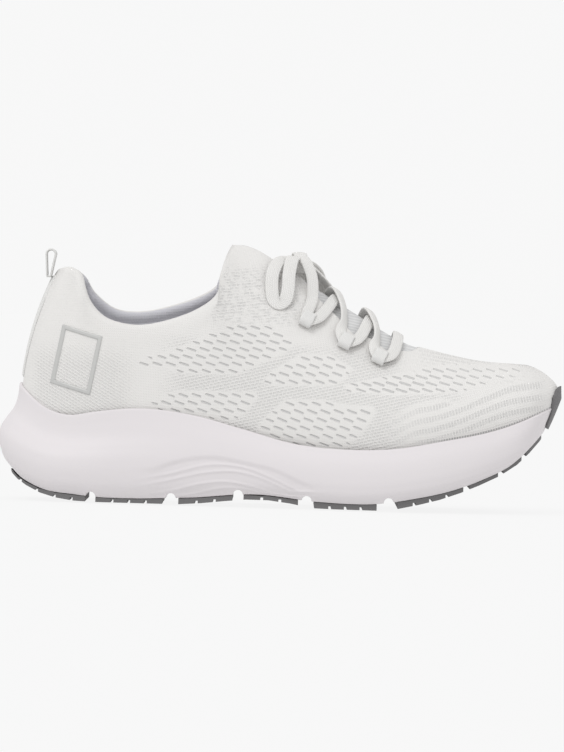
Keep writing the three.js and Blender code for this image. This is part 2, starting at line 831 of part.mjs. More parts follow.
// A flat ring of webbing, long way up, that the lace runs through lengthwise.
function loopSolid({ at, forward, up, out }, grow = 0) {
  const oval = (tall, deep) => {
    const r = deep / 2;
    const shape = new THREE.Shape();
    shape.absarc(tall / 2 - r, 0, r, -Math.PI / 2, Math.PI / 2, false);
    shape.absarc(r - tall / 2, 0, r, Math.PI / 2, (3 * Math.PI) / 2, false);
    return shape;
  };
  const shape = oval(LOOP.tall + 2 * grow, LOOP.deep + 2 * grow);
  shape.holes.push(oval(LOOP.tall - 2 * LOOP.wall - 2 * grow, LOOP.deep - 2 * LOOP.wall - 2 * grow));
  const wide = LOOP.wide + 2 * grow;
  const ring = new THREE.ExtrudeGeometry(shape, { depth: wide, bevelEnabled: false, curveSegments: 5 });
  const axis = up.clone().cross(out);
  const start = at.clone().addScaledVector(axis, -wide / 2);
  return solidOf(ring, new THREE.Matrix4().makeBasis(up, out, axis).setPosition(start));
}

const lateralLoops = LOOP_PLACES.map((p) => loopFrame(p, false));
const medialLoops = LOOP_PLACES.map((p) => loopFrame(p, true));
lateralLoops.forEach((f, i) => add(`lace_loop_lateral_${i + 1}`, loopSolid(f), WEBBING_WHITE));
medialLoops.forEach((f, i) => add(`lace_loop_medial_${i + 1}`, loopSolid(f), WEBBING_WHITE));

// ---------------------------------------------------------------- lace

// A flat cord along waypoints, each a point and the direction its flat side faces.
function ribbon(waypoints, width, thickness, count, closedEnds = true) {
  const line = new THREE.CatmullRomCurve3(waypoints.map((w) => w.at), false, "centripetal");
  const facing = new THREE.CatmullRomCurve3(waypoints.map((w) => w.out), false, "centripetal");
  const sides = 6;
  const ring = (s) => {
    const p = line.getPoint(s);
    const along = line.getTangent(s);
    const out = facing.getPoint(s);
    out.addScaledVector(along, -out.dot(along)).normalize();
    const across = along.clone().cross(out);
    return steps(0, 1, sides).slice(0, -1).map((a) => {
      const angle = a * 2 * Math.PI;
      const c = Math.cos(angle);
      const s2 = Math.sin(angle);
      const wide = (width / 2) * Math.sign(c) * Math.abs(c) ** 0.7;
      return p.clone().addScaledVector(across, wide).addScaledVector(out, (thickness / 2) * s2);
    });
  };
  const rings = steps(0, 1, count).map(ring);
  const faces = [];
  for (let r = 0; r < count; r += 1) {
    for (let i = 0; i < sides; i += 1) {
      const next = (i + 1) % sides;
      faces.push([r * sides + i, r * sides + next, (r + 1) * sides + next, (r + 1) * sides + i]);
    }
  }
  if (closedEnds) {
    faces.push(steps(0, sides - 1, sides - 1).reverse());
    faces.push(steps(0, sides - 1, sides - 1).map((i) => count * sides + i));
  }
  return solid(rings.flat(), faces);
}

// The lace comes down to a loop, turns in it and goes up again: where it is beside the loop.
const ARM = { reach: 4.2, rise: 3.4, sag: 0.6 };
const arm = (loop, sign) => ({
  at: loop.at.clone().addScaledVector(loop.forward, sign * ARM.reach).addScaledVector(loop.up, ARM.rise),
  out: loop.out.clone(),
});
const overCrest = (x, height, shift = 0) => ({
  at: vec(x, crestSide(x) + shift, crest(x) + height),
  out: vec(crest(x - 1) - crest(x + 1), 0, 2).normalize(),
});

const KNOT = vec(7.5, 0.5, 121.3);
const fromKnot = (dx, dy, dz, ox, oy, oz) => ({
  at: KNOT.clone().add(vec(dx, dy, dz)),
  out: vec(ox, oy, oz).normalize(),
});
const [L1, L2, L3] = lateralLoops;
const [M1, M2, M3] = medialLoops;
const turnIn = (loop, from) => [
  arm(loop, from),
  { at: loop.at.clone().addScaledVector(loop.up, -ARM.sag), out: loop.out.clone() },
  arm(loop, -from),
];
// Where the lace falls to a loop on its edge.
const onEdge = (x, y, z) => ({ at: vec(x, y, z), out: vec(0.8, -0.55, 0.2) });
const lacing = [
  fromKnot(0.5, -3, 3.6, 0, -0.4, 0.9),
  fromKnot(3.6, -8, 0.2, 0.2, -0.8, 0.6),
  fromKnot(6.6, -12, -7.5, 0.2, -0.9, 0.4),
  fromKnot(6.9, -16.5, -17.5, 0.2, -0.9, 0.5),
  ...turnIn(L1, -1).slice(1),
  overCrest(27.5, 1.8),
  ...turnIn(M2, -1),
  overCrest(42.5, 4.6),
  onEdge(46.6, -9, 91.5),
  onEdge(47.2, -18.5, 84.5),
  ...turnIn(L3, -1),
  overCrest(58, 2.2),
  ...turnIn(M3, 1),
  overCrest(44.5, 1.8),
  ...turnIn(L2, 1),
  onEdge(30.6, -17.5, 92.5),
  onEdge(29.8, -9, 101),
  overCrest(25.5, 4.6),
  ...turnIn(M1, 1),
  fromKnot(6, 11.5, -10, 0.3, 0.9, 0.4),
  fromKnot(3, 6.5, -1.5, 0.3, 0.8, 0.6),
  fromKnot(0.5, 2, 1, 0, 0.4, 0.9),
];

// The loops of the bow: each leaves the knot, hangs down its side, turns and comes back up. The
// lateral one hangs straight down, and the medial one reaches forward.
const bow = {
  lateral: [
    fromKnot(-1.5, -3, 2.2, 0, -0.5, 0.9),
    fromKnot(-3.4, -11, 1.8, 0, -0.8, 0.6),
    fromKnot(-4.9, -17.5, -5.5, 0, -1, 0.25),
    fromKnot(-5.3, -22.5, -14, 0, -1, 0.25),
    fromKnot(-6.6, -24.5, -19, 0, -1, 0.25),
    fromKnot(-9.2, -25.2, -20.6, 0, -1, 0.25),
    fromKnot(-12, -24.5, -19, 0, -1, 0.25),
    fromKnot(-13.3, -22.2, -13, 0, -1, 0.25),
    fromKnot(-13, -18.2, -5.5, 0, -1, 0.3),
    fromKnot(-10.3, -12, 0, 0, -0.8, 0.6),
    fromKnot(-5.5, -5, 2, 0, -0.4, 0.9),
    fromKnot(-2.5, -1.5, 1.5, 0, 0, 1),
  ],
  medial: [
    fromKnot(1, 3, 0.5, 0, 0.5, 0.9),
    fromKnot(6, 6.5, -0.8, 0.2, 0.5, 0.9),
    fromKnot(10, 11, -5.5, 0.4, 0.8, 0.4),
    fromKnot(11, 18.5, -13, 0.3, 0.9, 0.2),
    fromKnot(10, 25, -20.5, 0.2, 1, 0.2),
    fromKnot(7, 28.5, -24, 0, 1, 0.2),
    fromKnot(3, 27, -21, 0, 1, 0.2),
    fromKnot(1.5, 22.5, -13, 0, 1, 0.3),
    fromKnot(1, 15.5, -5.5, 0, 0.9, 0.5),
    fromKnot(0.5, 7.5, -0.5, 0, 0.5, 0.9),
    fromKnot(-0.5, 2, 0.5, 0, 0, 1),
  ],
};

// A free end of the bow, laid down the medial side.
function tail(forward, lift) {
  const spots = [
    [8 + forward, 0.93],
    [8 + forward * 1.8, 0.82],
    [8 + forward * 2.3, 0.7],
    [8 + forward * 2.6, 0.58],
  ];
  const laid = spots.map(([x, v]) => {
    const k = steps(TONGUE_TOP, 10, 80).reduce((a, b) =>
      Math.abs(upperPoint(LAPS - a, v).x - x) < Math.abs(upperPoint(LAPS - b, v).x - x) ? a : b,
    );
    return { at: atDepth(LAPS - k, v, -lift), out: upperNormal(LAPS - k, v) };
  });
  return [fromKnot(forward / 3, 3, 0.5, 0, 0.3, 1), ...laid];
}

const tails = { front: tail(9, 6.2), rear: tail(-6.5, 2.6) };
const knot = solidOf(
  new THREE.SphereGeometry(1, 12, 8),
  new THREE.Matrix4().makeScale(6.4, 5.6, 4.9).setPosition(KNOT),
);
let lace = knot.add(ribbon(lacing, LACE_WIDTH, LACE_THICKNESS, 76));
for (const way of Object.values(bow)) lace = lace.add(ribbon(way, BOW_WIDTH, LACE_THICKNESS, 22));
for (const way of Object.values(tails)) lace = lace.add(ribbon(way, LACE_WIDTH, LACE_THICKNESS, 8));
for (const f of [...lateralLoops, ...medialLoops]) lace = lace.subtract(loopSolid(f, GAP));
lace = lace.subtract(inside(-GAP * 2));
add("lace", lace, WEBBING_WHITE);

// The plastic tips of the lace.
const AGLET = { radius: 1.5, length: 16 };
for (const [name, way] of Object.entries(tails)) {
  const end = way[way.length - 1];
  const along = end.at.clone().sub(way[way.length - 2].at);
  along.addScaledVector(end.out, -along.dot(end.out)).normalize();
  const turn = new THREE.Quaternion().setFromUnitVectors(vec(0, 1, 0), along);
  const centre = end.at.clone().addScaledVector(along, AGLET.length / 2 + GAP * 2);
  const tip = new THREE.CylinderGeometry(AGLET.radius, AGLET.radius, AGLET.length, 10);
  const place = new THREE.Matrix4().compose(centre, turn, vec(1, 1, 1));
  add(`aglet_${name}`, solidOf(tip, place), PLASTIC_WHITE);
}

// ---------------------------------------------------------------- heel: tape, pull loop, badge

const TAPE = { wide: 9, thick: 0.7 };
const PULL_BASE = vec(-117.3, 0, 110); // where the loop bends, above the sewn tape

// A flat strip in the plane y = 0, as wide as the tape, from a closed outline in x and z.
function strip(outlinePoints, holePoints) {
  const shape = new THREE.Shape(outlinePoints.map(([x, z]) => new THREE.Vector2(x, z)));
  if (holePoints) shape.holes.push(new THREE.Path(holePoints.map(([x, z]) => new THREE.Vector2(x, z))));
  const flat = new THREE.ExtrudeGeometry(shape, { depth: TAPE.wide, bevelEnabled: false });
  const upright = new THREE.Matrix4().makeBasis(vec(1, 0, 0), vec(0, 0, 1), vec(0, -1, 0));
  upright.setPosition(0, TAPE.wide / 2, 0);
  return solidOf(flat, upright);
}

// The loop is a drop: two straight legs that meet at the base and a round top.
const PULL = { height: 15, radius: 2.9, lean: 0.8 };
function drop(radius, foot) {
  const top = PULL.height - PULL.radius;
  const arc = steps(0, Math.PI, 10).map((a) => [
    PULL_BASE.x + PULL.lean + radius * Math.cos(a),
    PULL_BASE.z + top + radius * Math.sin(a),
  ]);
  return [...arc, [PULL_BASE.x - radius * 0.3, PULL_BASE.z + foot], [PULL_BASE.x + radius * 0.3, PULL_BASE.z + foot]];
}
add("pull_loop", strip(drop(PULL.radius, 0.4), drop(PULL.radius - TAPE.thick, 4.6)), WEBBING_WHITE);

const tapeStations = steps(-0.26, 0.26, 4);
add(
  "heel_tape",
  patch(tapeStations, steps(0.35, 0.87, 8), -GAP - TAPE.thick, -GAP),
  WEBBING_WHITE,
);

// A plain slanted frame of film over the knit.
const BADGE = { line: 2.3, film: 0.5, reach: 70 };
// The corners of the line along the middle of the frame, in x and z
const BADGE_CORNERS = [
  [-108, 86],
  [-90, 81],
  [-95, 54],
  [-113, 59],
];

// One side of the frame, as a bar that runs out from the shoe's middle to one side.
function frameBar(a, b, medial) {
  const from = new THREE.Vector2(...a);
  const to = new THREE.Vector2(...b);
  const ahead = to.clone().sub(from).setLength(BADGE.line / 2);
  const aside = new THREE.Vector2(-ahead.y, ahead.x);
  from.sub(ahead);
  to.add(ahead);
  const corners = [
    from.clone().sub(aside),
    to.clone().sub(aside),
    to.clone().add(aside),
    from.clone().add(aside),
  ];
  const bar = new THREE.ExtrudeGeometry(new THREE.Shape(corners), { depth: BADGE.reach, bevelEnabled: false });
  const upright = new THREE.Matrix4().makeBasis(vec(1, 0, 0), vec(0, 0, 1), vec(0, -1, 0));
  upright.setPosition(0, medial ? BADGE.reach : 0, 0);
  return solidOf(bar, upright);
}

function badge(medial) {
  const film = patch(
    steps(0.6, 5, 22).map((k) => (medial ? LAPS - k : k)),
    steps(0.24, 0.9, 10),
    -GAP - BADGE.film,
    -GAP,
  );
  const bars = BADGE_CORNERS.map((corner, i) => frameBar(corner, BADGE_CORNERS[(i + 1) % 4], medial));
  return bars.reduce((a, b) => a.add(b)).intersect(film);
}
add("heel_badge_lateral", badge(false), FILM_SILVER);
add("heel_badge_medial", badge(true), FILM_SILVER);

export default shoe;
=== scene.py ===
import math

import bmesh
import bpy
import numpy as np
from mathutils import Matrix, Vector


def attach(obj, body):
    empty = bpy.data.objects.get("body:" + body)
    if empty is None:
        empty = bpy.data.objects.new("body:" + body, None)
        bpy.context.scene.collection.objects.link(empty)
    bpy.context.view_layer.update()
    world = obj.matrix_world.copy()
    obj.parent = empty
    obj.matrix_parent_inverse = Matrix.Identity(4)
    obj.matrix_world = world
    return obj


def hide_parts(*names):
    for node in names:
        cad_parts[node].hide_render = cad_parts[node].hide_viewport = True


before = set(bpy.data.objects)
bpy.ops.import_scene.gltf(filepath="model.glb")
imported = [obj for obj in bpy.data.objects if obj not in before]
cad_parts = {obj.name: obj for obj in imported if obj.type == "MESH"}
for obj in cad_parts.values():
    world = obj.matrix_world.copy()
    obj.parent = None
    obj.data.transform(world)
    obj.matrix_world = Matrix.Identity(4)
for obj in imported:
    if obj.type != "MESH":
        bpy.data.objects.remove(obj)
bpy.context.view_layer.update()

MM = 0.001

# ---- camera, light and stage

VIEW_DISTANCE = 3.0
VIEW_HEIGHT = 0.376  # metres of the scene that the frame's height takes in
VIEW_ELEVATION = math.radians(0.7)
VIEW_ROLL = math.radians(1.65)
VIEW_CENTRE = Vector((0.0005, 0, 0.0645))
BACKDROP = 0.935  # linear brightness of the world, which the lit floor is matched to
SUN = 0.9
FLOOR_ALBEDO = 0.06
FLOOR_GLOW = 0.867  # what the floor gives off itself, so that it matches the world


def make_camera():
    data = bpy.data.cameras.new("camera")
    data.sensor_width = 36
    data.lens = 36 * VIEW_DISTANCE / VIEW_HEIGHT
    data.clip_end = 30
    camera = bpy.data.objects.new("camera", data)
    bpy.context.scene.collection.objects.link(camera)
    tilt = Matrix.Rotation(math.pi / 2 - VIEW_ELEVATION, 4, "X")
    roll = Matrix.Rotation(VIEW_ROLL, 4, "Z")
    back = Matrix.Translation((0, 0, VIEW_DISTANCE))
    camera.matrix_world = Matrix.Translation(VIEW_CENTRE) @ tilt @ roll @ back
    bpy.context.scene.camera = camera


def make_sun(direction, strength, angle):
    data = bpy.data.lights.new("key", "SUN")
    data.energy = strength
    data.angle = math.radians(angle)
    light = bpy.data.objects.new("key", data)
    light.rotation_euler = Vector(direction).to_track_quat("-Z", "Y").to_euler()
    bpy.context.scene.collection.objects.link(light)


def set_inputs(node, **values):
    """Sets a node's inputs, given by name with _ for a space."""
    for name, value in values.items():
        node.inputs[name.replace("_", " ")].default_value = value


def make_stage():
    bpy.ops.mesh.primitive_plane_add(size=60, location=(0, 0, -0.0006))
    floor = bpy.context.object
    floor.name = "floor"
    material = bpy.data.materials.new("floor")
    material.use_nodes = True
    shader = material.node_tree.nodes["Principled BSDF"]
    set_inputs(shader, Base_Color=[FLOOR_ALBEDO] * 3 + [1], Roughness=1, Specular_IOR_Level=0)
    set_inputs(shader, Emission_Color=(1, 1, 1, 1), Emission_Strength=FLOOR_GLOW)
    floor.data.materials.append(material)
    world = bpy.data.worlds.new("world")
    world.use_nodes = True
    set_inputs(world.node_tree.nodes["Background"], Color=(1, 1, 1, 1), Strength=BACKDROP)
    bpy.context.scene.world = world
    bpy.context.scene.view_settings.view_transform = "Standard"


make_camera()
make_stage()
make_sun((0.35, 0.75, -1), SUN, 25)

# ---- the shoe's tables
# The same frame as the CAD solids: +X to the toe, +Y to the medial side, +Z up, here in
# millimetres. A station t walks round the sole's outline: 0 at the heel, 13 at the toe, 1 to 12
# on the lateral side and 25 down to 14 on the medial side.

STATIONS = 13
LAPS = 2 * STATIONS
OUTLINE = [
    [-140, 0, 0], [-134, 21, 21], [-116, 36, 36], [-93, 41.5, 41], [-68, 41, 40], [-43, 40.5, 37],
    [-18, 42, 35], [7, 45.5, 37.5], [32, 49, 42.5], [57, 50.8, 47.8], [82, 48.3, 50.6],
    [106, 40, 48.4], [128, 25, 37.5], [138.7, -8, 8],
]  # x, lateral half width, medial half width
GAP = 0.3
KNIT = 1.8
STIFFENER = 1
LINING = 0.8
FOAM = 4.2
LIP = 1.4
FEATHER = 8
OVERHANG = 2.2
WIDEST = 0.22  # v at the upper's widest line
TONGUE_TOP = 6.6  # the station where the topline reaches the crest


def through(pairs):
    """A smooth curve through [x, value] pairs, the one that the CAD tables use."""
    xs, ys = np.array(pairs, float).T
    gaps = np.diff(xs)
    chords = np.diff(ys) / gaps
    slopes = np.concatenate([chords[:1], chords[:1], chords[-1:]])
    if len(xs) > 2:
        inner = (chords[:-1] * gaps[1:] + chords[1:] * gaps[:-1]) / (gaps[:-1] + gaps[1:])
        slopes = np.concatenate([chords[:1], inner, chords[-1:]])

    def value(x):
        at = np.clip(np.asarray(x, float), xs[0], xs[-1])
        i = np.clip(np.searchsorted(xs, at) - 1, 0, len(xs) - 2)
        w = gaps[i]
        s = (at - xs[i]) / w
        rise = s * s * (3 - 2 * s)
        lean = w * s * (1 - s) * (slopes[i] * (1 - s) - slopes[i + 1] * s)
        return ys[i] + (ys[i + 1] - ys[i]) * rise + lean

    return value


sole_bottom = through(
    [[-140, 23], [-132, 13.5], [-120, 6.6], [-100, 3.4], [-45, 3.4], [-10, 6], [20, 3.4]]
    + [[50, 3.4], [67, 6.2], [84, 10.2], [100, 16], [116, 24.5], [130, 38], [140, 49]]
)
footbed = through(
    [[-130, 37], [-70, 35], [-30, 31], [10, 25], [40, 22.5], [70, 24.5], [100, 31.5], [130, 43]]
)
crest = through(
    [[-26.2, 129.3], [-20.5, 129.2], [-14.2, 127.4], [-3, 121], [19.5, 107.5], [40.5, 95], [61.5, 83.4]]
    + [[79.5, 78.6], [95.5, 75.4], [121, 73.6]]
)
crest_side = through([[-26.2, 0], [20, 1], [60, 3], [121, 6.5]])
rim_height = through(
    [[0, 57.2], [1, 53], [2, 43.8], [2.5, 42.2], [3, 44], [4, 46.4], [5, 43.8], [6, 37.5]]
    + [[7, 31.2], [8, 29.2], [9, 30.2], [10, 34.6], [11, 39.7], [12, 47.8], [13, 55]]
)
rim_inset = through([[0, 9.6], [2, 7.5], [3, 6], [5, 4.5], [8, 3], [11, 3], [13, 0.2]])
widest_height = through(
    [[0, 50], [2, 47], [4, 50], [5, 48], [7, 41], [8, 39], [10, 42], [11, 47], [12, 54], [13, 60.5]]
)
topline_x = through(
    [[0, -112], [1, -107.5], [2, -99], [2.5, -94], [3, -88], [3.5, -80], [4, -70], [4.5, -58]]
    + [[5, -44.5], [5.5, -34], [6, -31.4], [6.3, -28.6], [6.5, -26.8], [TONGUE_TOP, -26.2]]
)
topline_y = through(
    [[0, 0], [1, 14], [2, 23.5], [3, 28.5], [4, 30], [5, 27.5], [5.5, 25.5], [6, 20.5]]
    + [[6.3, 12.5], [6.5, 4.6], [TONGUE_TOP, 0]]
)
topline_z = through(
    [[0, 116.4], [1, 116.8], [2, 110.5], [2.5, 98.8], [3, 92.6], [3.5, 89.7], [4, 89], [4.5, 91.5]]
    + [[5, 97], [5.5, 105], [6, 116.5], [6.3, 125.4], [6.5, 128.9], [TONGUE_TOP, 129.3]]
)
medial_rise = through(
    [[1, 0], [2, 0.2], [2.5, 5], [3.5, 5.9], [4, 6.7], [5, 6.5], [5.5, 5], [6, 1.6], [6.3, 0]]
)
crest_x = through(
    [[TONGUE_TOP, -26.2], [7, -13.5], [8, 22], [9, 49], [10, 73], [11, 92], [12, 108], [13, 121]]
)
topline_lean = through([[0, 61], [2, 68], [4, 76], [5, 66], [6, 34], [TONGUE_TOP, 0]])
roundness = through([[TONGUE_TOP, 0.38], [8, 0.38], [10, 0.45], [12, 0.49], [13, 0.4]])
heel_side = through(
    [[0, 7], [0.1, 3.2], [0.22, 1], [0.38, 0], [0.47, 0.5], [0.58, 3], [0.71, 6.6], [0.85, 8.3]]
    + [[1, 8.9]]
)
overhang = through([[0, 0], [11.5, 0], [12.3, 0.9], [13, OVERHANG]])
fore_side = through([[0, 6], [0.12, 2.4], [0.3, 0.5], [0.5, 0], [0.75, 0.7], [1, 3]])

# ---- the shoe's surfaces


def smooth(a, b, x):
    s = np.clip((np.asarray(x, float) - a) / (b - a), 0, 1)
    return s * s * (3 - 2 * s)


def mix(a, b, s):
    return a + (b - a) * s


def unit(v):
    return v / np.maximum(np.linalg.norm(v, axis=-1, keepdims=True), 1e-9)


def vec(x, y, z):
    return np.stack(np.broadcast_arrays(x, y, z), -1).astype(float)


def paired(a, b):
    return np.broadcast_arrays(np.asarray(a, float), np.asarray(b, float))


def grid(a, b):
    return np.meshgrid(a, b, indexing="ij")


def station(t):
    lap = np.mod(t, LAPS)
    return np.minimum(lap, LAPS - lap)


def is_medial(t):
    return np.mod(t, LAPS) > STATIONS


RING_POINTS = np.array(
    [[x, -lateral] for x, lateral, _ in OUTLINE]
    + [[x, medial] for x, _, medial in OUTLINE[1:-1][::-1]]
)


def outline(t):
    """The outline's point at a station, and its direction."""
    lap = np.mod(np.asarray(t, float), LAPS)
    i = np.floor(lap).astype(int) % LAPS
    w = (lap - np.floor(lap))[..., None]
    p0, p1, p2, p3 = (RING_POINTS[(i + d) % LAPS] for d in (-1, 0, 1, 2))
    t0 = (p2 - p0) / 2
    t1 = (p3 - p1) / 2
    c2 = -3 * p1 + 3 * p2 - 2 * t0 - t1
    c3 = 2 * p1 - 2 * p2 + t0 + t1
    return p1 + t0 * w + c2 * w**2 + c3 * w**3, t0 + 2 * c2 * w + 3 * c3 * w**2


def inward(t):
    along = outline(t)[1]
    return unit(vec(-along[..., 1], along[..., 0], 0))


def inset(t, distance, z=0.0):
    p = outline(t)[0]
    flat = vec(p[..., 0], p[..., 1], 0) + inward(t) * np.asarray(distance)[..., None]
    return vec(flat[..., 0], flat[..., 1], z)


def sole_side(t, f):
    k = station(t)
    heel = 1 - smooth(1.5, 6, k)
    to_rim = rim_inset(k) - mix(3, 8.9, heel)
    usual = mix(fore_side(f), heel_side(f), heel) + to_rim * smooth(0.4, 1, f)
    distance = mix(usual, mix(fore_side(0), rim_inset(k), f), smooth(11, 12.8, k))
    p = inset(t, distance)
    bottom = sole_bottom(inset(t, np.full_like(distance, fore_side(0)))[..., 0])
    return vec(p[..., 0], p[..., 1], mix(bottom, rim_height(k), f))


def top_point(t):
    k = station(t)
    side = np.where(is_medial(t), 1, -1)
    x = crest_x(k)
    rise = np.where(is_medial(t), medial_rise(k), 0)
    closed = vec(x, crest_side(x), crest(x))
    opened = vec(topline_x(k), side * topline_y(k), topline_z(k) + rise)
    return np.where((k >= TONGUE_TOP)[..., None], closed, opened)


def top_direction(t):
    k = station(t)
    side = np.where(is_medial(t), 1, -1)
    normal = inward(t)
    across = vec(0, -side, 0)
    x = crest_x(k)
    slope = crest(x + 0.5) - crest(x - 0.5)
    turn = smooth(10.5, STATIONS, k)[..., None]
    flat = unit(mix(across, normal, turn))
    closed = unit(vec(flat[..., 0], flat[..., 1], flat[..., 0] * slope))
    lean = np.radians(topline_lean(k))
    flat = unit(mix(normal, across, smooth(3, 5, k)[..., None])) * np.cos(lean)[..., None]
    opened = vec(flat[..., 0], flat[..., 1], np.sin(lean))
    return np.where((k >= TONGUE_TOP)[..., None], closed, opened)


def bezier(a, b, c, d, s):
    s = s[..., None]
    r = 1 - s
    return a * r**3 + 3 * b * r * r * s + 3 * c * r * s * s + d * s**3


def upper_point(t, v):
    t, v = paired(t, v)
    k = station(t)
    widest = inset(t, rim_inset(k) + LIP - overhang(k), widest_height(k))
    edge = inset(t, rim_inset(k) + LIP + FEATHER)
    edge = vec(edge[..., 0], edge[..., 1], footbed(edge[..., 0]))
    down = vec(0, 0, 0.55 * (widest[..., 2] - edge[..., 2]))
    leaving = edge - inward(t) * 0.6 * FEATHER
    low = bezier(edge, leaving, widest - down, widest, np.clip(v / WIDEST, 0, 1))
    top = top_point(t)
    arch = smooth(4.5, TONGUE_TOP, k)
    height = top[..., 2] - widest[..., 2]
    across = np.hypot(top[..., 0] - widest[..., 0], top[..., 1] - widest[..., 1])
    up = height * mix(0.34, roundness(k), arch)
    reach = mix(0.3 * height, roundness(k) * across, arch)
    arriving = top - top_direction(t) * reach[..., None]
    s = np.clip((v - WIDEST) / (1 - WIDEST), 0, 1)
    high = bezier(widest, widest + vec(0, 0, up), arriving, top, s)
    return np.where((v < WIDEST)[..., None], low, high)


def crest_normal(x):
    return unit(vec(crest(x - 0.5) - crest(x + 0.5), 0, 1))


def upper_normal(t, v):
    t, v = paired(t, v)
    e = 1e-3
    near = np.minimum(v, 1 - e)
    along = upper_point(t + e, near) - upper_point(t - e, near)
    up = upper_point(t, np.minimum(v + e, 1)) - upper_point(t, np.maximum(v - e, 0))
    usual = unit(np.cross(along, up))
    k = station(t)
    at_crest = (v > 1 - 1e-6) & (k >= TONGUE_TOP)
    return np.where(at_crest[..., None], crest_normal(crest_x(k)), usual)


def at_depth(t, v, depth):
    depth = np.asarray(depth, float)
    return upper_point(t, v) - upper_normal(t, v) * depth[..., None]


SIDE_K, SIDE_V = grid(np.linspace(0, STATIONS, 261), np.linspace(WIDEST, 1, 61))
SIDE_POINTS = {
    medial: upper_point(LAPS - SIDE_K if medial else SIDE_K, SIDE_V) for medial in (False, True)
}


def on_side(x, z, medial):
    """The station and row of the upper that show at x and z in a side view."""
    x, z = paired(x, z)
    near_x, _, near_z = SIDE_POINTS[medial].reshape(-1, 3).T
    places = zip(x.ravel(), z.ravel())
    best = [np.argmin((near_x - px) ** 2 + (near_z - pz) ** 2) for px, pz in places]
    k, v = (values.ravel()[best].reshape(x.shape) for values in (SIDE_K, SIDE_V))
    return LAPS - k if medial else k, v


def on_side_exact(x, z, medial):
    """The same, refined between the grid's points by Newton steps."""
    t, v = on_side(x, z, medial)
    e = 1e-3
    for _ in range(4):
        p = upper_point(t, v)
        dt = (upper_point(t + e, v) - p) / e
        dv = (upper_point(t, v - e) - p) / -e
        rx = x - p[..., 0]
        rz = z - p[..., 2]
        det = dt[..., 0] * dv[..., 2] - dv[..., 0] * dt[..., 2]
        det = np.where(np.abs(det) < 1e-6, 1e-6, det)
        step_t = np.clip((rx * dv[..., 2] - rz * dv[..., 0]) / det, -0.05, 0.05)
        step_v = np.clip((rz * dt[..., 0] - rx * dt[..., 2]) / det, -0.02, 0.02)
        t = t + step_t
        v = np.clip(v + step_v, WIDEST, 1)
    return t, v


# ---- making meshes


def make_mesh(name, points, faces, material, body="shoe", flip=False, merge=True, **attributes):
    """A smooth mesh from points in millimetres and faces, riding on a body."""
    mesh = bpy.data.meshes.new(name)
    rows = [list(map(int, f)) for f in faces]
    if flip:
        rows = [f[::-1] for f in rows]
    mesh.from_pydata((np.asarray(points).reshape(-1, 3) * MM).tolist(), [], rows)
    for key, values in attributes.items():
        values = np.asarray(values, float)
        kind = "FLOAT_VECTOR" if values.shape[-1] == 3 and values.ndim > 1 else "FLOAT"
        made = mesh.attributes.new(key, kind, "POINT")
        made.data.foreach_set("vector" if kind == "FLOAT_VECTOR" else "value", values.ravel())
    if merge:
        work = bmesh.new()
        work.from_mesh(mesh)
        bmesh.ops.remove_doubles(work, verts=work.verts, dist=0.00001)
        work.to_mesh(mesh)
        work.free()
    mesh.polygons.foreach_set("use_smooth", [True] * len(mesh.polygons))
    mesh.materials.append(material)
    made = bpy.data.objects.new(name, mesh)
    bpy.context.scene.collection.objects.link(made)
    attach(made, body)
    return made


def grid_faces(columns, rows, loop=False):
    """Faces of a grid of points stored column by column."""
    count = columns if loop else columns - 1
    i, j = grid(np.arange(count), np.arange(rows - 1))
    n = (i + 1) % columns
    faces = np.stack([i * rows + j, n * rows + j, n * rows + j + 1, i * rows + j + 1], -1)
    return faces.reshape(-1, 4)


def joined(parts):
    """Several (points, faces) as one."""
    points = [np.asarray(p).reshape(-1, 3) for p, _ in parts]
    firsts = np.cumsum([0] + [len(p) for p in points])
    faces = [np.asarray(f) + first for (_, f), first in zip(parts, firsts)]
    return np.concatenate(points), np.concatenate(faces)


# ---- materials


class Value:
    """A socket in a material's node tree, with arithmetic."""

    def __init__(self, look, socket):
        self.look = look
        self.socket = socket

    def math(self, kind, *others):
        return self.look.math(kind, self, *others)

    def __add__(self, other):
        return self.math("ADD", other)

    def __sub__(self, other):
        return self.math("SUBTRACT", other)

    def __rsub__(self, other):
        return self.look.math("SUBTRACT", other, self)

    def __mul__(self, other):
        return self.math("MULTIPLY", other)

    def __truediv__(self, other):
        return self.math("DIVIDE", other)

    def round(self):
        return self.math("ROUND")

    def abs(self):
        return self.math("ABSOLUTE")

    def fold(self):
        """The distance to the nearest whole number."""
        return (self - self.round()).abs()


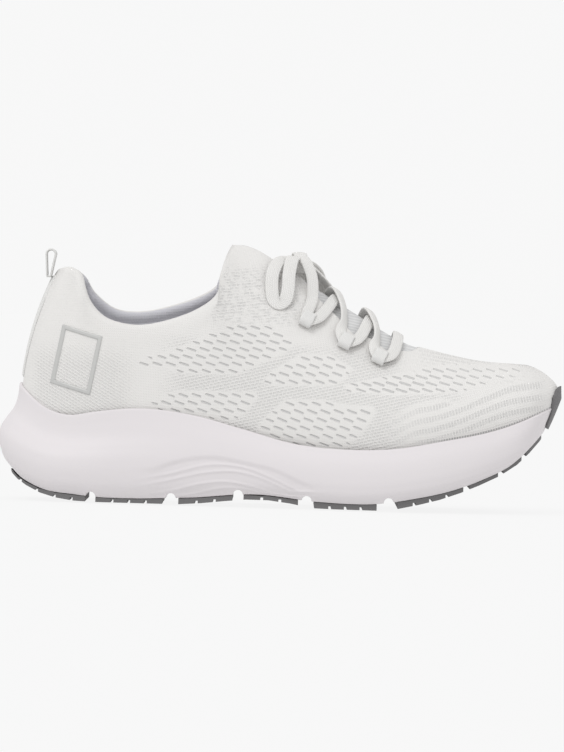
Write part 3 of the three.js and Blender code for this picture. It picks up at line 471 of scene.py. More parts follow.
class Look:
    """A procedural material: a Principled shader whose inputs are node expressions."""

    def __init__(self, name, color, roughness, specular=0.3):
        self.material = bpy.data.materials.new(name)
        self.material.use_nodes = True
        self.tree = self.material.node_tree
        self.shader = self.tree.nodes["Principled BSDF"]
        self.color = (*color, 1)
        set_inputs(self.shader, Base_Color=self.color, Roughness=roughness, Specular_IOR_Level=specular)

    def node(self, kind, **settings):
        made = self.tree.nodes.new(kind)
        for key, value in settings.items():
            setattr(made, key, value)
        return made

    def plug(self, value, socket):
        if isinstance(value, Value):
            self.tree.links.new(value.socket, socket)
        else:
            socket.default_value = value

    def math(self, kind, *values):
        made = self.node("ShaderNodeMath", operation=kind)
        for value, socket in zip(values, made.inputs):
            self.plug(value, socket)
        return Value(self, made.outputs[0])

    def smooth(self, a, b, x):
        made = self.node("ShaderNodeMapRange", interpolation_type="SMOOTHSTEP", clamp=True)
        self.plug(x, made.inputs["Value"])
        self.plug(a, made.inputs["From Min"])
        self.plug(b, made.inputs["From Max"])
        return Value(self, made.outputs["Result"])

    def attributes(self, name):
        made = self.node("ShaderNodeAttribute", attribute_name=name)
        return self.parts(Value(self, made.outputs["Vector"]))

    def parts(self, vector):
        split = self.node("ShaderNodeSeparateXYZ")
        self.plug(vector, split.inputs[0])
        return [Value(self, socket) for socket in split.outputs]

    def place(self):
        """The point in the object's own coordinates, in millimetres."""
        made = self.node("ShaderNodeTexCoord")
        scaled = self.node("ShaderNodeVectorMath", operation="SCALE")
        self.tree.links.new(made.outputs["Object"], scaled.inputs[0])
        set_inputs(scaled, Scale=1 / MM)
        return Value(self, scaled.outputs[0])

    def noise(self, scale, detail=2):
        made = self.node("ShaderNodeTexNoise")
        self.plug(self.place(), made.inputs["Vector"])
        set_inputs(made, Scale=scale, Detail=detail)
        return Value(self, made.outputs["Fac"])

    def finished(self, shade, dark, height):
        """The material: darker where shade is 1, and raised by a height in millimetres."""
        made = self.node("ShaderNodeMix", data_type="RGBA", clamp_factor=True)
        self.plug(shade, made.inputs[0])
        made.inputs[6].default_value = self.color
        made.inputs[7].default_value = (*dark, 1)
        self.tree.links.new(made.outputs[2], self.shader.inputs["Base Color"])
        made = self.node("ShaderNodeBump")
        self.plug(height, made.inputs["Height"])
        set_inputs(made, Distance=MM, Strength=1)
        self.tree.links.new(made.outputs["Normal"], self.shader.inputs["Normal"])
        return self.material


def stitches(look, p, q, pitch):
    """Knitted stitches over coordinates in millimetres: columns of small V shapes."""
    column = (p / pitch).fold()
    row = ((q / pitch) + column * 1.2).fold()
    return look.smooth(0.1, 0.45, row) * 0.6 + look.smooth(0.02, 0.2, column) * 0.4


WHITE_KNIT = (0.73, 0.718, 0.702)
SHADE_KNIT = (0.45, 0.45, 0.45)


def knit_look():
    """The upper: fine knit, with fields of open slits, toe ticks, ribs and twill from attributes."""
    look = Look("knit", WHITE_KNIT, 0.9, 0.15)
    p, q, _ = look.attributes("flat")
    a, b, size = look.attributes("slits")
    row = b.round()
    dx = a - row * SLIT_SHIFT
    dx = (dx - dx.round()) * SLIT_PITCH
    dy = (b - row) * SLIT_ROW
    along = dx * math.cos(SLIT_SLANT) - dy * math.sin(SLIT_SLANT)
    across = dx * math.sin(SLIT_SLANT) + dy * math.cos(SLIT_SLANT)
    beyond = look.math("MAXIMUM", along.abs() - size * SLIT_HALF, 0)
    reach = look.math("SQRT", beyond * beyond + across * across)
    open_ = look.smooth(0.22, -0.22, reach - size * SLIT_THICK) * look.smooth(0.25, 0.5, size)
    x, r, g = look.attributes("ticks")
    tick = look.smooth(0.34, 0.16, ((x + r * 0.9) / TICK_PITCH).fold())
    ticks = tick * g * look.smooth(1.6, 1.0, r.fold() * TICK_BAND)
    sx, sz, bite = look.attributes("side")
    tongue, twill, ends = look.attributes("masks")
    heel = look.math("MAXIMUM", ends, 0)
    vamp = look.math("MAXIMUM", ends * -1, 0)
    dots = dashes(look, sx, sz, 14, 1.5, 1.9, (0.42, 0.26)) * twill
    ribs = dashes(look, sx, sz, 7, 1.5, 2.4, (0.48, 0.34)) * tongue
    ribs = ribs * look.smooth(0.66, 0.36, look.noise(0.4, 2))
    net = dashes(look, sx, sz, -30, 1.45, 1.7, (0.46, 0.3)) * heel
    net = net + dashes(look, sx, sz, -9, 1.75, 2.9, (0.44, 0.28)) * vamp
    fine = stitches(look, p, q, 1.25)
    cloud = look.noise(0.35, 3)
    thread = look.smooth(0.38, 0.24, (sx / 1.3).fold()) * look.smooth(0.62, 0.4, (bite - 0.95).abs())
    # Painted shade: a dark line in the crease where the knit meets the foam's lip. The real stitch dots
    # run along it near the toe.
    crease_shade_and_stitches = look.smooth(0.6, 0.3, bite) * 0.4 + thread * look.smooth(70, 84, sx) * 0.85
    # The open slits are painted darker. This stands for the lining's colour and painted shade seen
    # through them, because the holes are not cut.
    shade = open_ * 0.54 + ticks * 0.3 + ribs * 0.3 + dots * 0.26 + net * 0.22 + crease_shade_and_stitches
    shade = shade + (1 - fine) * 0.11 + (cloud - 0.5) * 0.1
    height = fine * 0.12 - open_ * 0.42 - ticks * 0.18 - ribs * 0.22 - dots * 0.2 - net * 0.18
    return look.finished(shade, SHADE_KNIT, height)


def dashes(look, x, z, degrees, spacing, pitch, fade):
    """Rows of dashes at an angle to the floor. They fade out between the two shares of a pitch."""
    angle = math.radians(degrees)
    level = z * math.cos(angle) - x * math.sin(angle)
    along = x * math.cos(angle) + z * math.sin(angle)
    row = level / spacing
    near = look.smooth(0.4, 0.16, row.fold())
    return near * look.smooth(*fade, (along / pitch + row.round() * 0.5).fold())


def rib_look():
    """Ribbed elastic: fine ridges along the attribute w, with painted shade in the grooves between
    them.
    """
    look = Look("rib_knit", (0.68, 0.68, 0.68), 0.9, 0.15)
    w, _, _ = look.attributes("w")
    ridge = look.smooth(0.0, 0.5, (w / 1.3).fold())
    return look.finished((1 - ridge) * 0.3, (0.34, 0.34, 0.35), ridge * 0.22)


def lace_look():
    """Flat woven lace: rows of slanted threads that meet in the middle."""
    look = Look("lace", (0.79, 0.78, 0.76), 0.85, 0.2)
    s, c, _ = look.attributes("weave")
    slanted = (s / 0.95 + c.abs() * 0.7).fold()
    thread = look.smooth(0.5, 0.1, slanted)
    column = look.smooth(0.5, 0.2, (c / 0.9).fold())
    height = thread * 0.16 + column * 0.08
    return look.finished((1 - thread * column) * 0.24, (0.42, 0.42, 0.42), height)


def webbing_look(name, color):
    look = Look(name, color, 0.8, 0.2)
    x, y, z = look.parts(look.place())
    weave = ((x + z) / 0.9).fold() * ((x - z + y) / 0.9).fold()
    gaps, threads = look.smooth(0.12, 0.0, weave), look.smooth(0.0, 0.12, weave)
    return look.finished(gaps * 0.25, (0.4, 0.4, 0.4), threads * 0.12)


def foam_look():
    """Moulded foam skin: faintly mottled, with a fine grain."""
    look = Look("midsole_foam", (0.678, 0.648, 0.66), 0.55, 0.3)
    grain = look.noise(2.6, 4)
    cloud = look.noise(0.05, 2)
    return look.finished((cloud - 0.5) * 0.12 + (grain - 0.5) * 0.05, (0.5, 0.5, 0.5), grain * 0.05)


def lining_look():
    """Soft tricot mesh over the padding."""
    look = Look("lining", (0.65, 0.645, 0.68), 0.92, 0.1)
    x, y, z = look.parts(look.place())
    fine = ((x + y) / 0.8).fold() + (z / 0.8).fold()
    holes, threads = look.smooth(0.5, 0.2, fine), look.smooth(0.2, 0.6, fine)
    return look.finished(holes * 0.3, (0.4, 0.4, 0.43), threads * 0.12)


def grained_look(name, color, roughness, specular=0.3, **more):
    """One colour with a grain."""
    grain = {"noise": (2.0, 3), "middle": 0.5, "shade": 0.15, "raised": 0.05, "metallic": 0} | more
    look = Look(name, color, roughness, specular)
    set_inputs(look.shader, Metallic=grain["metallic"])
    noise = look.noise(*grain["noise"])
    shade = (noise - grain["middle"]) * grain["shade"]
    return look.finished(shade, grain.get("dark", [c * 0.6 for c in color]), noise * grain["raised"])


RUBBER_GRAIN = {"noise": (3.0, 4), "middle": 0.4, "shade": 0.4, "raised": 0.12, "dark": [0.12] * 3}
FILM_GRAIN = {"noise": (1.4, 2), "raised": 0.03, "metallic": 0.25, "dark": [0.3] * 3}


# ---- cords: the lace

LACE_WIDTH = 5.8
BOW_WIDTH = 6.6
LACE_THICKNESS = 1.7
LOOP = {"wide": 6.4, "tall": 8.8, "deep": 4.6, "wall": 1}
LOOP_PLACES = [[12.3, 92.2], [30.6, 81.6], [47.8, 73.6]]
EYESTAY_LIFT = LOOP["deep"] / 2 + GAP
ARM = {"reach": 4.2, "rise": 3.4, "sag": 0.6}
KNOT = np.array([7.5, 0.5, 121.3])


def loop_frame(place, medial):
    """A loop's centre, and its directions to the toe, up the side and outwards."""
    t, v = on_side(*place, medial)
    out = upper_normal(t, v)
    first, last = LOOP_PLACES[0], LOOP_PLACES[2]
    forward = np.array([last[0] - first[0], 0, last[1] - first[1]])
    forward = unit(forward - out * forward.dot(out))
    up = unit(np.cross(out, forward))
    up = up if up[2] > 0 else -up
    return {"at": upper_point(t, v) + out * EYESTAY_LIFT, "forward": forward, "up": up, "out": out}


def arm(loop, sign):
    """Where the lace is beside a loop, on its way down to it or up from it."""
    beside = loop["forward"] * sign * ARM["reach"] + loop["up"] * ARM["rise"]
    return loop["at"] + beside, loop["out"]


def turn_in(loop, sign):
    return [arm(loop, sign), (loop["at"] - loop["up"] * ARM["sag"], loop["out"]), arm(loop, -sign)]


def on_edge(x, y, z):
    """Where the lace falls to a loop on its edge."""
    return np.array([x, y, z], float), np.array([0.8, -0.55, 0.2])


def over_crest(x, height):
    out = unit(np.array([crest(x - 1) - crest(x + 1), 0, 2.0]))
    return np.array([x, crest_side(x), crest(x) + height]), out


def from_knot(dx, dy, dz, ox, oy, oz):
    """A place beside the knot, and the way the lace faces there."""
    return KNOT + [dx, dy, dz], unit(np.array([ox, oy, oz], float))


def knot_way(*rows):
    return [from_knot(*row) for row in rows]


lateral_loops = [loop_frame(p, False) for p in LOOP_PLACES]
medial_loops = [loop_frame(p, True) for p in LOOP_PLACES]
L1, L2, L3 = lateral_loops
M1, M2, M3 = medial_loops

lacing = [
    *knot_way(
        [0.5, -3, 3.6, 0, -0.4, 0.9],
        [3.6, -8, 0.2, 0.2, -0.8, 0.6],
        [6.6, -12, -7.5, 0.2, -0.9, 0.4],
        [6.9, -16.5, -17.5, 0.2, -0.9, 0.5],
    ),
    *turn_in(L1, -1)[1:],
    over_crest(27.5, 1.8),
    *turn_in(M2, -1),
    over_crest(42.5, 4.6),
    on_edge(46.6, -9, 91.5),
    on_edge(47.2, -18.5, 84.5),
    *turn_in(L3, -1),
    over_crest(58, 2.2),
    *turn_in(M3, 1),
    over_crest(44.5, 1.8),
    *turn_in(L2, 1),
    on_edge(30.6, -17.5, 92.5),
    on_edge(29.8, -9, 101),
    over_crest(25.5, 4.6),
    *turn_in(M1, 1),
    *knot_way(
        [6, 11.5, -10, 0.3, 0.9, 0.4],
        [3, 6.5, -1.5, 0.3, 0.8, 0.6],
        [0.5, 2, 1, 0, 0.4, 0.9],
    ),
]
bow_lateral = knot_way(
    [-1.5, -3, 2.2, 0, -0.5, 0.9],
    [-3.4, -11, 1.8, 0, -0.8, 0.6],
    [-4.9, -17.5, -5.5, 0, -1, 0.25],
    [-5.3, -22.5, -14, 0, -1, 0.25],
    [-6.6, -24.5, -19, 0, -1, 0.25],
    [-9.2, -25.2, -20.6, 0, -1, 0.25],
    [-12, -24.5, -19, 0, -1, 0.25],
    [-13.3, -22.2, -13, 0, -1, 0.25],
    [-13, -18.2, -5.5, 0, -1, 0.3],
    [-10.3, -12, 0, 0, -0.8, 0.6],
    [-5.5, -5, 2, 0, -0.4, 0.9],
    [-2.5, -1.5, 1.5, 0, 0, 1],
)
bow_medial = knot_way(
    [1, 3, 0.5, 0, 0.5, 0.9],
    [6, 6.5, -0.8, 0.2, 0.5, 0.9],
    [10, 11, -5.5, 0.4, 0.8, 0.4],
    [11, 18.5, -13, 0.3, 0.9, 0.2],
    [10, 25, -20.5, 0.2, 1, 0.2],
    [7, 28.5, -24, 0, 1, 0.2],
    [3, 27, -21, 0, 1, 0.2],
    [1.5, 22.5, -13, 0, 1, 0.3],
    [1, 15.5, -5.5, 0, 0.9, 0.5],
    [0.5, 7.5, -0.5, 0, 0.5, 0.9],
    [-0.5, 2, 0.5, 0, 0, 1],
)


def tail(forward, lift):
    """A free end of the bow, laid down the medial side."""
    spots = [(8 + forward * far, v) for far, v in ((1, 0.93), (1.8, 0.82), (2.3, 0.7), (2.6, 0.58))]
    way = [from_knot(forward / 3, 3, 0.5, 0, 0.3, 1)]
    choices = LAPS - np.linspace(TONGUE_TOP, 10, 81)
    for x, v in spots:
        t = choices[np.argmin(np.abs(upper_point(choices, v)[:, 0] - x))]
        way.append((at_depth(t, v, -lift), upper_normal(t, v)))
    return way


def centripetal(points, u):
    """The centripetal Catmull-Rom curve through points, at u from 0 to 1."""
    points = np.asarray(points, float)
    ends = np.concatenate([[2 * points[0] - points[1]], points, [2 * points[-1] - points[-2]]])
    count = len(points)
    at = np.clip(np.asarray(u, float) * (count - 1), 0, count - 1)
    i = np.minimum(np.floor(at).astype(int), count - 2)
    w = (at - i)[:, None]
    near = [ends[i + d] for d in range(4)]
    x0, x1, x2, x3 = near
    step = [np.linalg.norm(b - a, axis=1, keepdims=True) ** 0.5 for a, b in zip(near, near[1:])]
    middle = np.where(step[1] < 1e-4, 1, step[1])
    before = np.where(step[0] < 1e-4, middle, step[0])
    after = np.where(step[2] < 1e-4, middle, step[2])
    t1 = ((x1 - x0) / before - (x2 - x0) / (before + middle) + (x2 - x1) / middle) * middle
    t2 = ((x2 - x1) / middle - (x3 - x1) / (middle + after) + (x3 - x2) / after) * middle
    c2 = -3 * x1 + 3 * x2 - 2 * t1 - t2
    c3 = 2 * x1 - 2 * x2 + t1 + t2
    return x1 + t1 * w + c2 * w**2 + c3 * w**3


SIDES = 20  # points round a band's section
LACE_STEP = 0.55


def band(line, along, facing, width, thickness, bulge, closed):
    """A flat band's rings of points, its faces, and where across it each of its sides is."""
    out = unit(facing - along * (facing * along).sum(-1, keepdims=True))
    across = np.cross(along, out)
    angle = np.arange(SIDES) / SIDES * 2 * math.pi
    wide = width / 2 * np.sign(np.cos(angle)) * np.abs(np.cos(angle)) ** bulge[0]
    tall = thickness / 2 * np.sign(np.sin(angle)) * np.abs(np.sin(angle)) ** bulge[1]
    rings = line[:, None] + across[:, None] * wide[:, None] + out[:, None] * tall[:, None]
    count = len(line)
    i, j = grid(np.arange(count if closed else count - 1), np.arange(SIDES))
    m = (i + 1) % count
    n = (j + 1) % SIDES
    faces = np.stack([i * SIDES + j, i * SIDES + n, m * SIDES + n, m * SIDES + j], -1)
    faces = faces.reshape(-1, 4).tolist()
    if not closed:
        faces.append(list(range(SIDES))[::-1])
        faces.append([(count - 1) * SIDES + j for j in range(SIDES)])
    return rings, faces, wide


def ribbon(name, way, material, width=LACE_WIDTH):
    """A flat woven cord along a way of points and facings: the piece, its centreline and length."""
    points, facing = (np.array(values) for values in zip(*way))
    rough = centripetal(points, np.linspace(0, 1, 400))
    length = np.linalg.norm(np.diff(rough, axis=0), axis=1).sum()
    u = np.linspace(0, 1, max(int(length / LACE_STEP), 12) + 1)
    line = centripetal(points, u)
    along = unit(np.gradient(line, axis=0))
    facings = centripetal(facing, u)
    rings, faces, wide = band(line, along, facings, width, LACE_THICKNESS, (0.75, 0.8), False)
    run = np.concatenate([[0], np.cumsum(np.linalg.norm(np.diff(line, axis=0), axis=1))])
    weave = vec(run[:, None], wide[None, :], 0)
    made = make_mesh(name, rings, faces, material, merge=False, flip=True, weave=weave)
    return made, line, run[-1]


def lace_cord(name, way, material, width=LACE_WIDTH):
    made, line, length = ribbon(name, way, material, width)
    (line[0] * MM).tolist()
    length * MM
    (line[::3] * MM).tolist() + [(line[-1] * MM).tolist()]
    return made


LACE = lace_look()
lace_run = lace_cord("lace_run", lacing, LACE)
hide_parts("lace")
lace_cord("lace_bow_lateral", bow_lateral, LACE, width=BOW_WIDTH)
lace_cord("lace_bow_medial", bow_medial, LACE, width=BOW_WIDTH)
lace_cord("lace_tail_front", tail(9, 6.2), LACE)
lace_cord("lace_tail_rear", tail(-6.5, 2.6), LACE)


KNOT_RADII = np.array([5.6, 5.0, 4.2])
WRAP = {"width": 6.8, "across": 5.6, "up": 4.6, "sway": 0.6}


def make_knot():
    """The knot's core, and the turn of lace wrapped over it."""
    u, w = grid(np.linspace(0, 2 * math.pi, 49), np.linspace(0, math.pi, 33))
    ball = vec(np.cos(u) * np.sin(w), np.sin(u) * np.sin(w), np.cos(w))
    points = KNOT + ball * KNOT_RADII
    weave = vec(u * 5, (w - math.pi / 2) * 5, 0)
    core = make_mesh("lace_knot", points, grid_faces(49, 33), LACE, flip=True, weave=weave)
    turn = []
    for a in np.linspace(0, 2 * math.pi, 17):
        s, c = math.sin(a), math.cos(a)
        place = KNOT + [WRAP["sway"] * math.sin(2 * a), -WRAP["across"] * s, WRAP["up"] * c]
        turn.append((place, unit(np.array([0, -s, c]))))
    wrap, _, _ = ribbon("lace_knot_wrap", turn, LACE, width=WRAP["width"])


make_knot()

# ---- the upper

# From station to station, and how many points: closest where the throat and topline turn.
SPANS = [(0, 5.8, 94), (5.8, TONGUE_TOP, 25), (TONGUE_TOP, 7.2, 13), (7.2, 8.2, 22)]
SPANS += [(8.2, 9.4, 22), (9.4, 10, 20)]
HALF = np.concatenate([np.linspace(*span)[:-1] for span in SPANS] + [np.linspace(10, 13, 49)])
RING = np.concatenate([HALF, LAPS - HALF[-2:0:-1]])
ROWS = np.concatenate([np.linspace(0, WIDEST, 13)[:-1], np.linspace(WIDEST, 1, 88)])
THROAT = {"middle": 8.72, "half": 1.08, "edge": 0.715}
SCALLOP = 0.018


def throat_edge(t):
    """The row where the knit ends: 1, or less where the throat is open."""
    k = station(t)
    s = np.clip(np.abs((k - THROAT["middle"]) / THROAT["half"]), 0, 1)
    depth = (1 - THROAT["edge"]) * np.sqrt(1 - s**2.6)
    wave = SCALLOP * np.cos((crest_x(k) - 23.5) / 18 * 2 * math.pi) * smooth(0.9, 0.5, s)
    return 1 - depth + wave * (depth > 0)


def collar_radius(t):
    return mix(3.4, 1.3, smooth(4.8, 6.1, station(t)))


def edge_direction(t):
    """At the topline or the crest, the direction on the surface that leads over the edge."""
    k = station(t)
    x = crest_x(k)
    ahead = unit(vec(-1, 0, (crest(x - 0.5) - crest(x + 0.5))))
    e = 2e-3
    run = upper_point(t + e, 1.0) - upper_point(t - e, 1.0)
    over = unit(np.cross(upper_normal(t, 0.999), run))
    return np.where((k >= TONGUE_TOP - 1e-3)[..., None], ahead, over)


def drawn_in(t, v):
    """How far the surface is drawn in below the topline, to make room for the collar's roll."""
    fade = 1 - smooth(TONGUE_TOP, 7.5, station(t))
    return edge_direction(t) * (collar_radius(t) * fade * smooth(0.72, 1, v))[..., None]


def shell(depth):
    """The upper's surface at a depth, over RING and ROWS, drawn in below the topline."""
    t, w = grid(RING, ROWS)
    share = smooth(WIDEST, 1, w) * 0.35 + 0.65 * (w - WIDEST) / (1 - WIDEST)
    v = w * np.where(w > WIDEST, mix(1, throat_edge(t), share), 1)
    points = at_depth(t, v, depth(t, v)) - drawn_in(t, v)
    return t, v, softened(t, v, points)


def softened(t, v, points):
    """Evens out the fold that would run down from the tongue's top corner."""
    beside = np.abs(station(t) - TONGUE_TOP)
    share = (smooth(0.55, 0.3, beside) * smooth(1, 0.94, v) * 0.95)[..., None]
    for _ in range(30):
        between = (np.roll(points, 1, axis=0) + np.roll(points, -1, axis=0)) / 2
        points = mix(points, between, share)
    return points


def rolled(start, normal, over, radius, angles):
    """Rows that turn over an edge: start is on the surface, angles are in degrees."""
    centre = start - normal * radius[:, None]
    turns = np.radians(angles)
    arc = normal[:, None] * np.cos(turns)[:, None] + over[:, None] * np.sin(turns)[:, None]
    return centre[:, None] + arc * radius[:, None, None]


SLIT_PITCH = 6.55
SLIT_ROW = 3.85
SLIT_SHIFT = 0.275
SLIT_SLANT = math.radians(20)
SLIT_HALF = 2.1
SLIT_THICK = 0.38
TICK_PITCH = 1.45
TICK_BAND = 5.35
# The height above the rim of the lowest band of ticks.
tick_rise = through(
    [[47, -7.2], [57, -2.1], [66, 1.2], [76, 1.6], [88, 3.3], [101, 6], [112, 6.8], [124, 4.4]]
    + [[131, 2.3]]
)
VIEW_TILT = 0.0288  # the camera's roll, height over length: the fields are level to its eye

# Fields of slits: each one's borders in x and z, and the x, height and spacing of its rows.
FIELD_BORDERS = [
    [(-22.5, 90.5), (-9.5, 90.5), (1, 87), (7.5, 82.5), (2.5, 76.5), (-4.5, 73), (-13.5, 69)]
    + [(-21.5, 65), (-46.5, 64.5), (-58, 67), (-71.5, 67.5), (-72.5, 70.5), (-60.5, 74)]
    + [(-47.5, 78.5), (-40.5, 82.5), (-31.5, 86.5)],
    [(-51.5, 56), (-12.5, 56.5), (-11.5, 53.5), (-15.5, 49), (-17.5, 45.5), (-24.5, 41.5)]
    + [(-40.5, 43.5), (-65.5, 44.5), (-69, 47), (-61.5, 51.5)],
    [(11, 76), (24.5, 76), (35.5, 69.5), (32, 64.5), (27, 61), (-4.5, 60), (-9, 61.5)]
    + [(-4.5, 67), (3, 71.5)],
    [(2, 53), (20.5, 53.5), (32, 51.5), (45.5, 51), (46.5, 48), (40.5, 38.5), (35.5, 33.5)]
    + [(30.5, 29), (4.5, 29), (-11.5, 34), (-11.5, 39.5), (-5.5, 46)],
    [(31.5, 61.5), (63.5, 68.5), (73, 71), (77.5, 73), (117.5, 74), (121.5, 70.5)]
    + [(117.5, 67.5), (102.5, 64), (89.5, 59.5), (55.5, 57), (32.5, 58.5)],
]
FIELD_ROWS = np.array(
    [[-5, 78.0, 3.6], [-24, 51.6, 3.8], [10, 69.7, 3.9], [22, 47.3, 4.05], [40, 57.7, 3.3]]
)


def inside_by(border, x, z):
    """How far inside a polygon each point is, negative outside, in millimetres."""
    corners = np.array(border, float)
    distance = np.full(x.shape, np.inf)
    inside = np.zeros(x.shape, bool)
    for (ax, az), (bx, bz) in zip(corners, np.roll(corners, -1, axis=0)):
        dx, dz = bx - ax, bz - az
        s = np.clip(((x - ax) * dx + (z - az) * dz) / (dx * dx + dz * dz), 0, 1)
        distance = np.minimum(distance, np.hypot(x - ax - s * dx, z - az - s * dz))
        crosses = (az > z) != (bz > z)
        at = ax + (z - az) * dx / (dz if dz else 1e-9)
        inside ^= crosses & (x < at)
    return np.where(inside, distance, -distance)


def knit_attributes(t, v, points):
    """The coordinates and masks that the knit material draws its pattern with."""
    x = points[..., 0] - (64.5 - points[..., 2]) * VIEW_TILT
    z = points[..., 2]
    level = z - VIEW_TILT * x
    depth = np.stack([inside_by(border, x, z) for border in FIELD_BORDERS])
    which = depth.argmax(0)
    best = depth.max(0)
    start, row, spacing = np.moveaxis(FIELD_ROWS[which], -1, 0)
    size = smooth(-1.2, 1.8, best)
    size = size * mix(1, mix(1.22, 0.84, smooth(60, 112, x)), which == len(FIELD_BORDERS) - 1)
    slits = vec((x - start) / SLIT_PITCH, (level - row) / spacing, size)
    k = station(t)
    rise = z - rim_height(k)
    bands = (rise - tick_rise(x)) / TICK_BAND
    highest = 3.45 - smooth(78, 88, x)
    shown = smooth(45, 60, x) * smooth(133, 128, x) * smooth(-1.4, -1.3, bands) * (rise > 1.4)
    shown = shown * mix(0.6, 1, smooth(55, 85, x)) * smooth(highest + 0.1, highest, bands)
    ticks = vec(x, bands, shown)
    lengths = np.linalg.norm(np.diff(points, axis=1), axis=-1)
    q = np.concatenate([np.zeros((len(t), 1)), np.cumsum(lengths, axis=1)], axis=1)
    girth = np.linalg.norm(np.diff(points[:, 12], axis=0, append=points[:1, 12]), axis=-1)
    p = np.broadcast_to(np.concatenate([[0], np.cumsum(girth)[:-1]])[:, None], q.shape)
    near_edge = smooth(0.93, 0.86, v) + smooth(6.6, 7.2, k) * smooth(0.86, 0.93, v)
    tongue = smooth(-40, -30, x) * smooth(20, 2, x) * smooth(84, 94, z) * smooth(122, 114, z)
    tongue = tongue * near_edge
    apart = smooth(0.6, -1.2, best)
    above = smooth(highest + 0.1, highest + 0.5, bands) * smooth(100, 78, x) * smooth(64, 60, z)
    twill = apart * smooth(-66, -44, x) * np.maximum(smooth(68, 48, x), above)
    twill = twill * smooth(84, 76, z + x * 0.05)
    heel = smooth(-66, -84, x) * smooth(-128, -118, x) * smooth(84, 66, z)
    vamp = smooth(62, 80, x) * smooth(124, 112, x) * smooth(62, 67, z) * apart
    side = vec(x, z, rise + 6 * (smooth(-75, -60, x) - smooth(36, 50, x)))
    return vec(p, q, 0), slits, ticks, side, vec(tongue, twill, heel - vamp)


def shell_faces(rows, plain, usable):
    """Faces over RING: all of the plain rows, and the rolled rows beyond them where usable."""
    faces = grid_faces(len(RING), rows, loop=True).reshape(len(RING), rows - 1, 4)
    edge = faces[usable][:, plain - 1 :].reshape(-1, 4)
    return np.concatenate([faces[:, : plain - 1].reshape(-1, 4), edge])


def make_upper(material):
    t, v, points = shell(lambda t, v: np.zeros_like(v))
    flat, slits, ticks, side, masks = knit_attributes(t, v, points)
    k = station(RING)
    opened = k <= TONGUE_TOP + 1e-6
    cut = throat_edge(RING) < 1 - 1e-4
    over = edge_direction(RING)
    border = points[:, -1]
    run = np.roll(border, -1, axis=0) - np.roll(border, 1, axis=0)
    normal = upper_normal(RING, v[:, -1] - 1e-3)
    lip = unit(np.cross(normal, run))
    over = np.where(cut[:, None], lip, over)
    radius = np.where(cut, 0.7, collar_radius(RING))
    angles = np.concatenate([[0], np.linspace(12, 120, 10)])[1:]
    roll = rolled(border, unit(normal), unit(over), radius, angles)
    roll = np.where((opened | cut)[:, None, None], roll, border[:, None])
    everything = np.concatenate([points, roll], axis=1)

    def extended(values, blank=False):
        more = np.repeat(values[:, -1:], len(angles), axis=1) * (0 if blank else 1)
        return np.concatenate([values, more], axis=1)

    q_more = flat[:, -1:, 1] + np.cumsum(np.full((len(RING), len(angles)), 0.7), axis=1)
    flat_more = vec(flat[:, -1:, 0], q_more, 0)
    usable = (opened & np.roll(opened, -1)) | (cut & np.roll(cut, -1))
    made = make_mesh(
        "upper",
        everything,
        shell_faces(everything.shape[1], points.shape[1], usable),
        material,
        flat=np.concatenate([flat, flat_more], axis=1),
        slits=extended(slits, True),
        ticks=extended(ticks, True),
        side=extended(side),
        masks=extended(masks, True),
    )
    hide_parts("upper_knit")


def padding(t, v):
    k = station(t)
    low = mix(0.5, 0.62, smooth(1, 4, k))
    return (1 - smooth(5.2, 6.3, k)) * smooth(low, low + 0.16, v)


def lining_depth(t, v):
    """The inside of the shoe: behind knit, stiffener and lining, and behind the collar padding."""
    thin = mix(0.5, 1, smooth(0, WIDEST, v))
    usual = (KNIT + STIFFENER + LINING + 3 * GAP + 0.8) * thin
    k = station(t)
    closed = smooth(TONGUE_TOP, TONGUE_TOP + 0.6, k)
    at_edge = 2 * collar_radius(t)
    deep = usual + padding(t, v) * (FOAM - STIFFENER) * (1 - smooth(0.86, 1, v))
    return mix(deep, at_edge, smooth(0.8, 1, v) * (1 - closed))


def make_lining(material):
    t, v = grid(RING, np.linspace(0.05, 1, 60))
    inner = at_depth(t, v, lining_depth(t, v)) - drawn_in(t, v)
    start = upper_point(RING, 1.0) - drawn_in(RING, np.ones_like(RING))
    normal = upper_normal(RING, 1 - 1e-3)
    k = station(RING)
    opened = k <= TONGUE_TOP + 1e-6
    roll = rolled(start, normal, edge_direction(RING), collar_radius(RING), np.linspace(176, 108, 9))
    roll = np.where(opened[:, None, None], roll, inner[:, -1:])
    everything = np.concatenate([inner, roll], axis=1)
    faces = shell_faces(everything.shape[1], inner.shape[1], opened & np.roll(opened, -1))
    made = make_mesh("lining_shell", everything, faces, material, flip=True)
    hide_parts("lining")


def make_gusset(material):
    """Ribbed elastic under the throat, from one side to the other."""
    stations = np.linspace(7.3, 10.2, 90)
    rise = np.linspace(0.6, 1, 26)
    lateral = grid(stations, rise)
    medial = grid(LAPS - stations, rise[:-1][::-1])
    t, v = np.concatenate([lateral, medial], axis=2)
    depth = mix(2.0, 0.7, smooth(0.72, 0.95, v))
    points = at_depth(t, v, depth)
    w = points[..., 0] * 0.2 + points[..., 2] * 0.95
    made = make_mesh("gusset", points, grid_faces(*t.shape), material, w=w)
    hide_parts("throat_gusset")


LINING_LOOK = lining_look()
make_upper(knit_look())
make_lining(LINING_LOOK)
make_gusset(rib_look())

# ---- midsole

FLEX_GROOVES = [-92.5, -52.8, -19.6, 14.4, 54.8]
GROOVE_RADIUS = 2.4
HOLLOW = through(
    [[-62, 17], [-54.5, 20], [-34.5, 24], [-15.5, 21.6], [-0.5, 18.2], [12, 12.8], [24, 9]]
)
WAVES = [
    through([[-71, 11.4], [-53, 15.4], [-33, 20.3], [-15.5, 19], [-3, 14.4], [10, 8.5]]),
    through([[-71, 8], [-53, 12.2], [-34.5, 16.5], [-22, 17.3], [-8, 14.2], [6, 8]]),
    through([[-71, 3.5], [-53, 6.6], [-37, 10.9], [-24.5, 12], [-15.5, 10.6], [0, 6]]),
    through([[-60, 2], [-40.5, 5.8], [-28, 8.7], [-15.5, 8.6], [-4, 6]]),
]


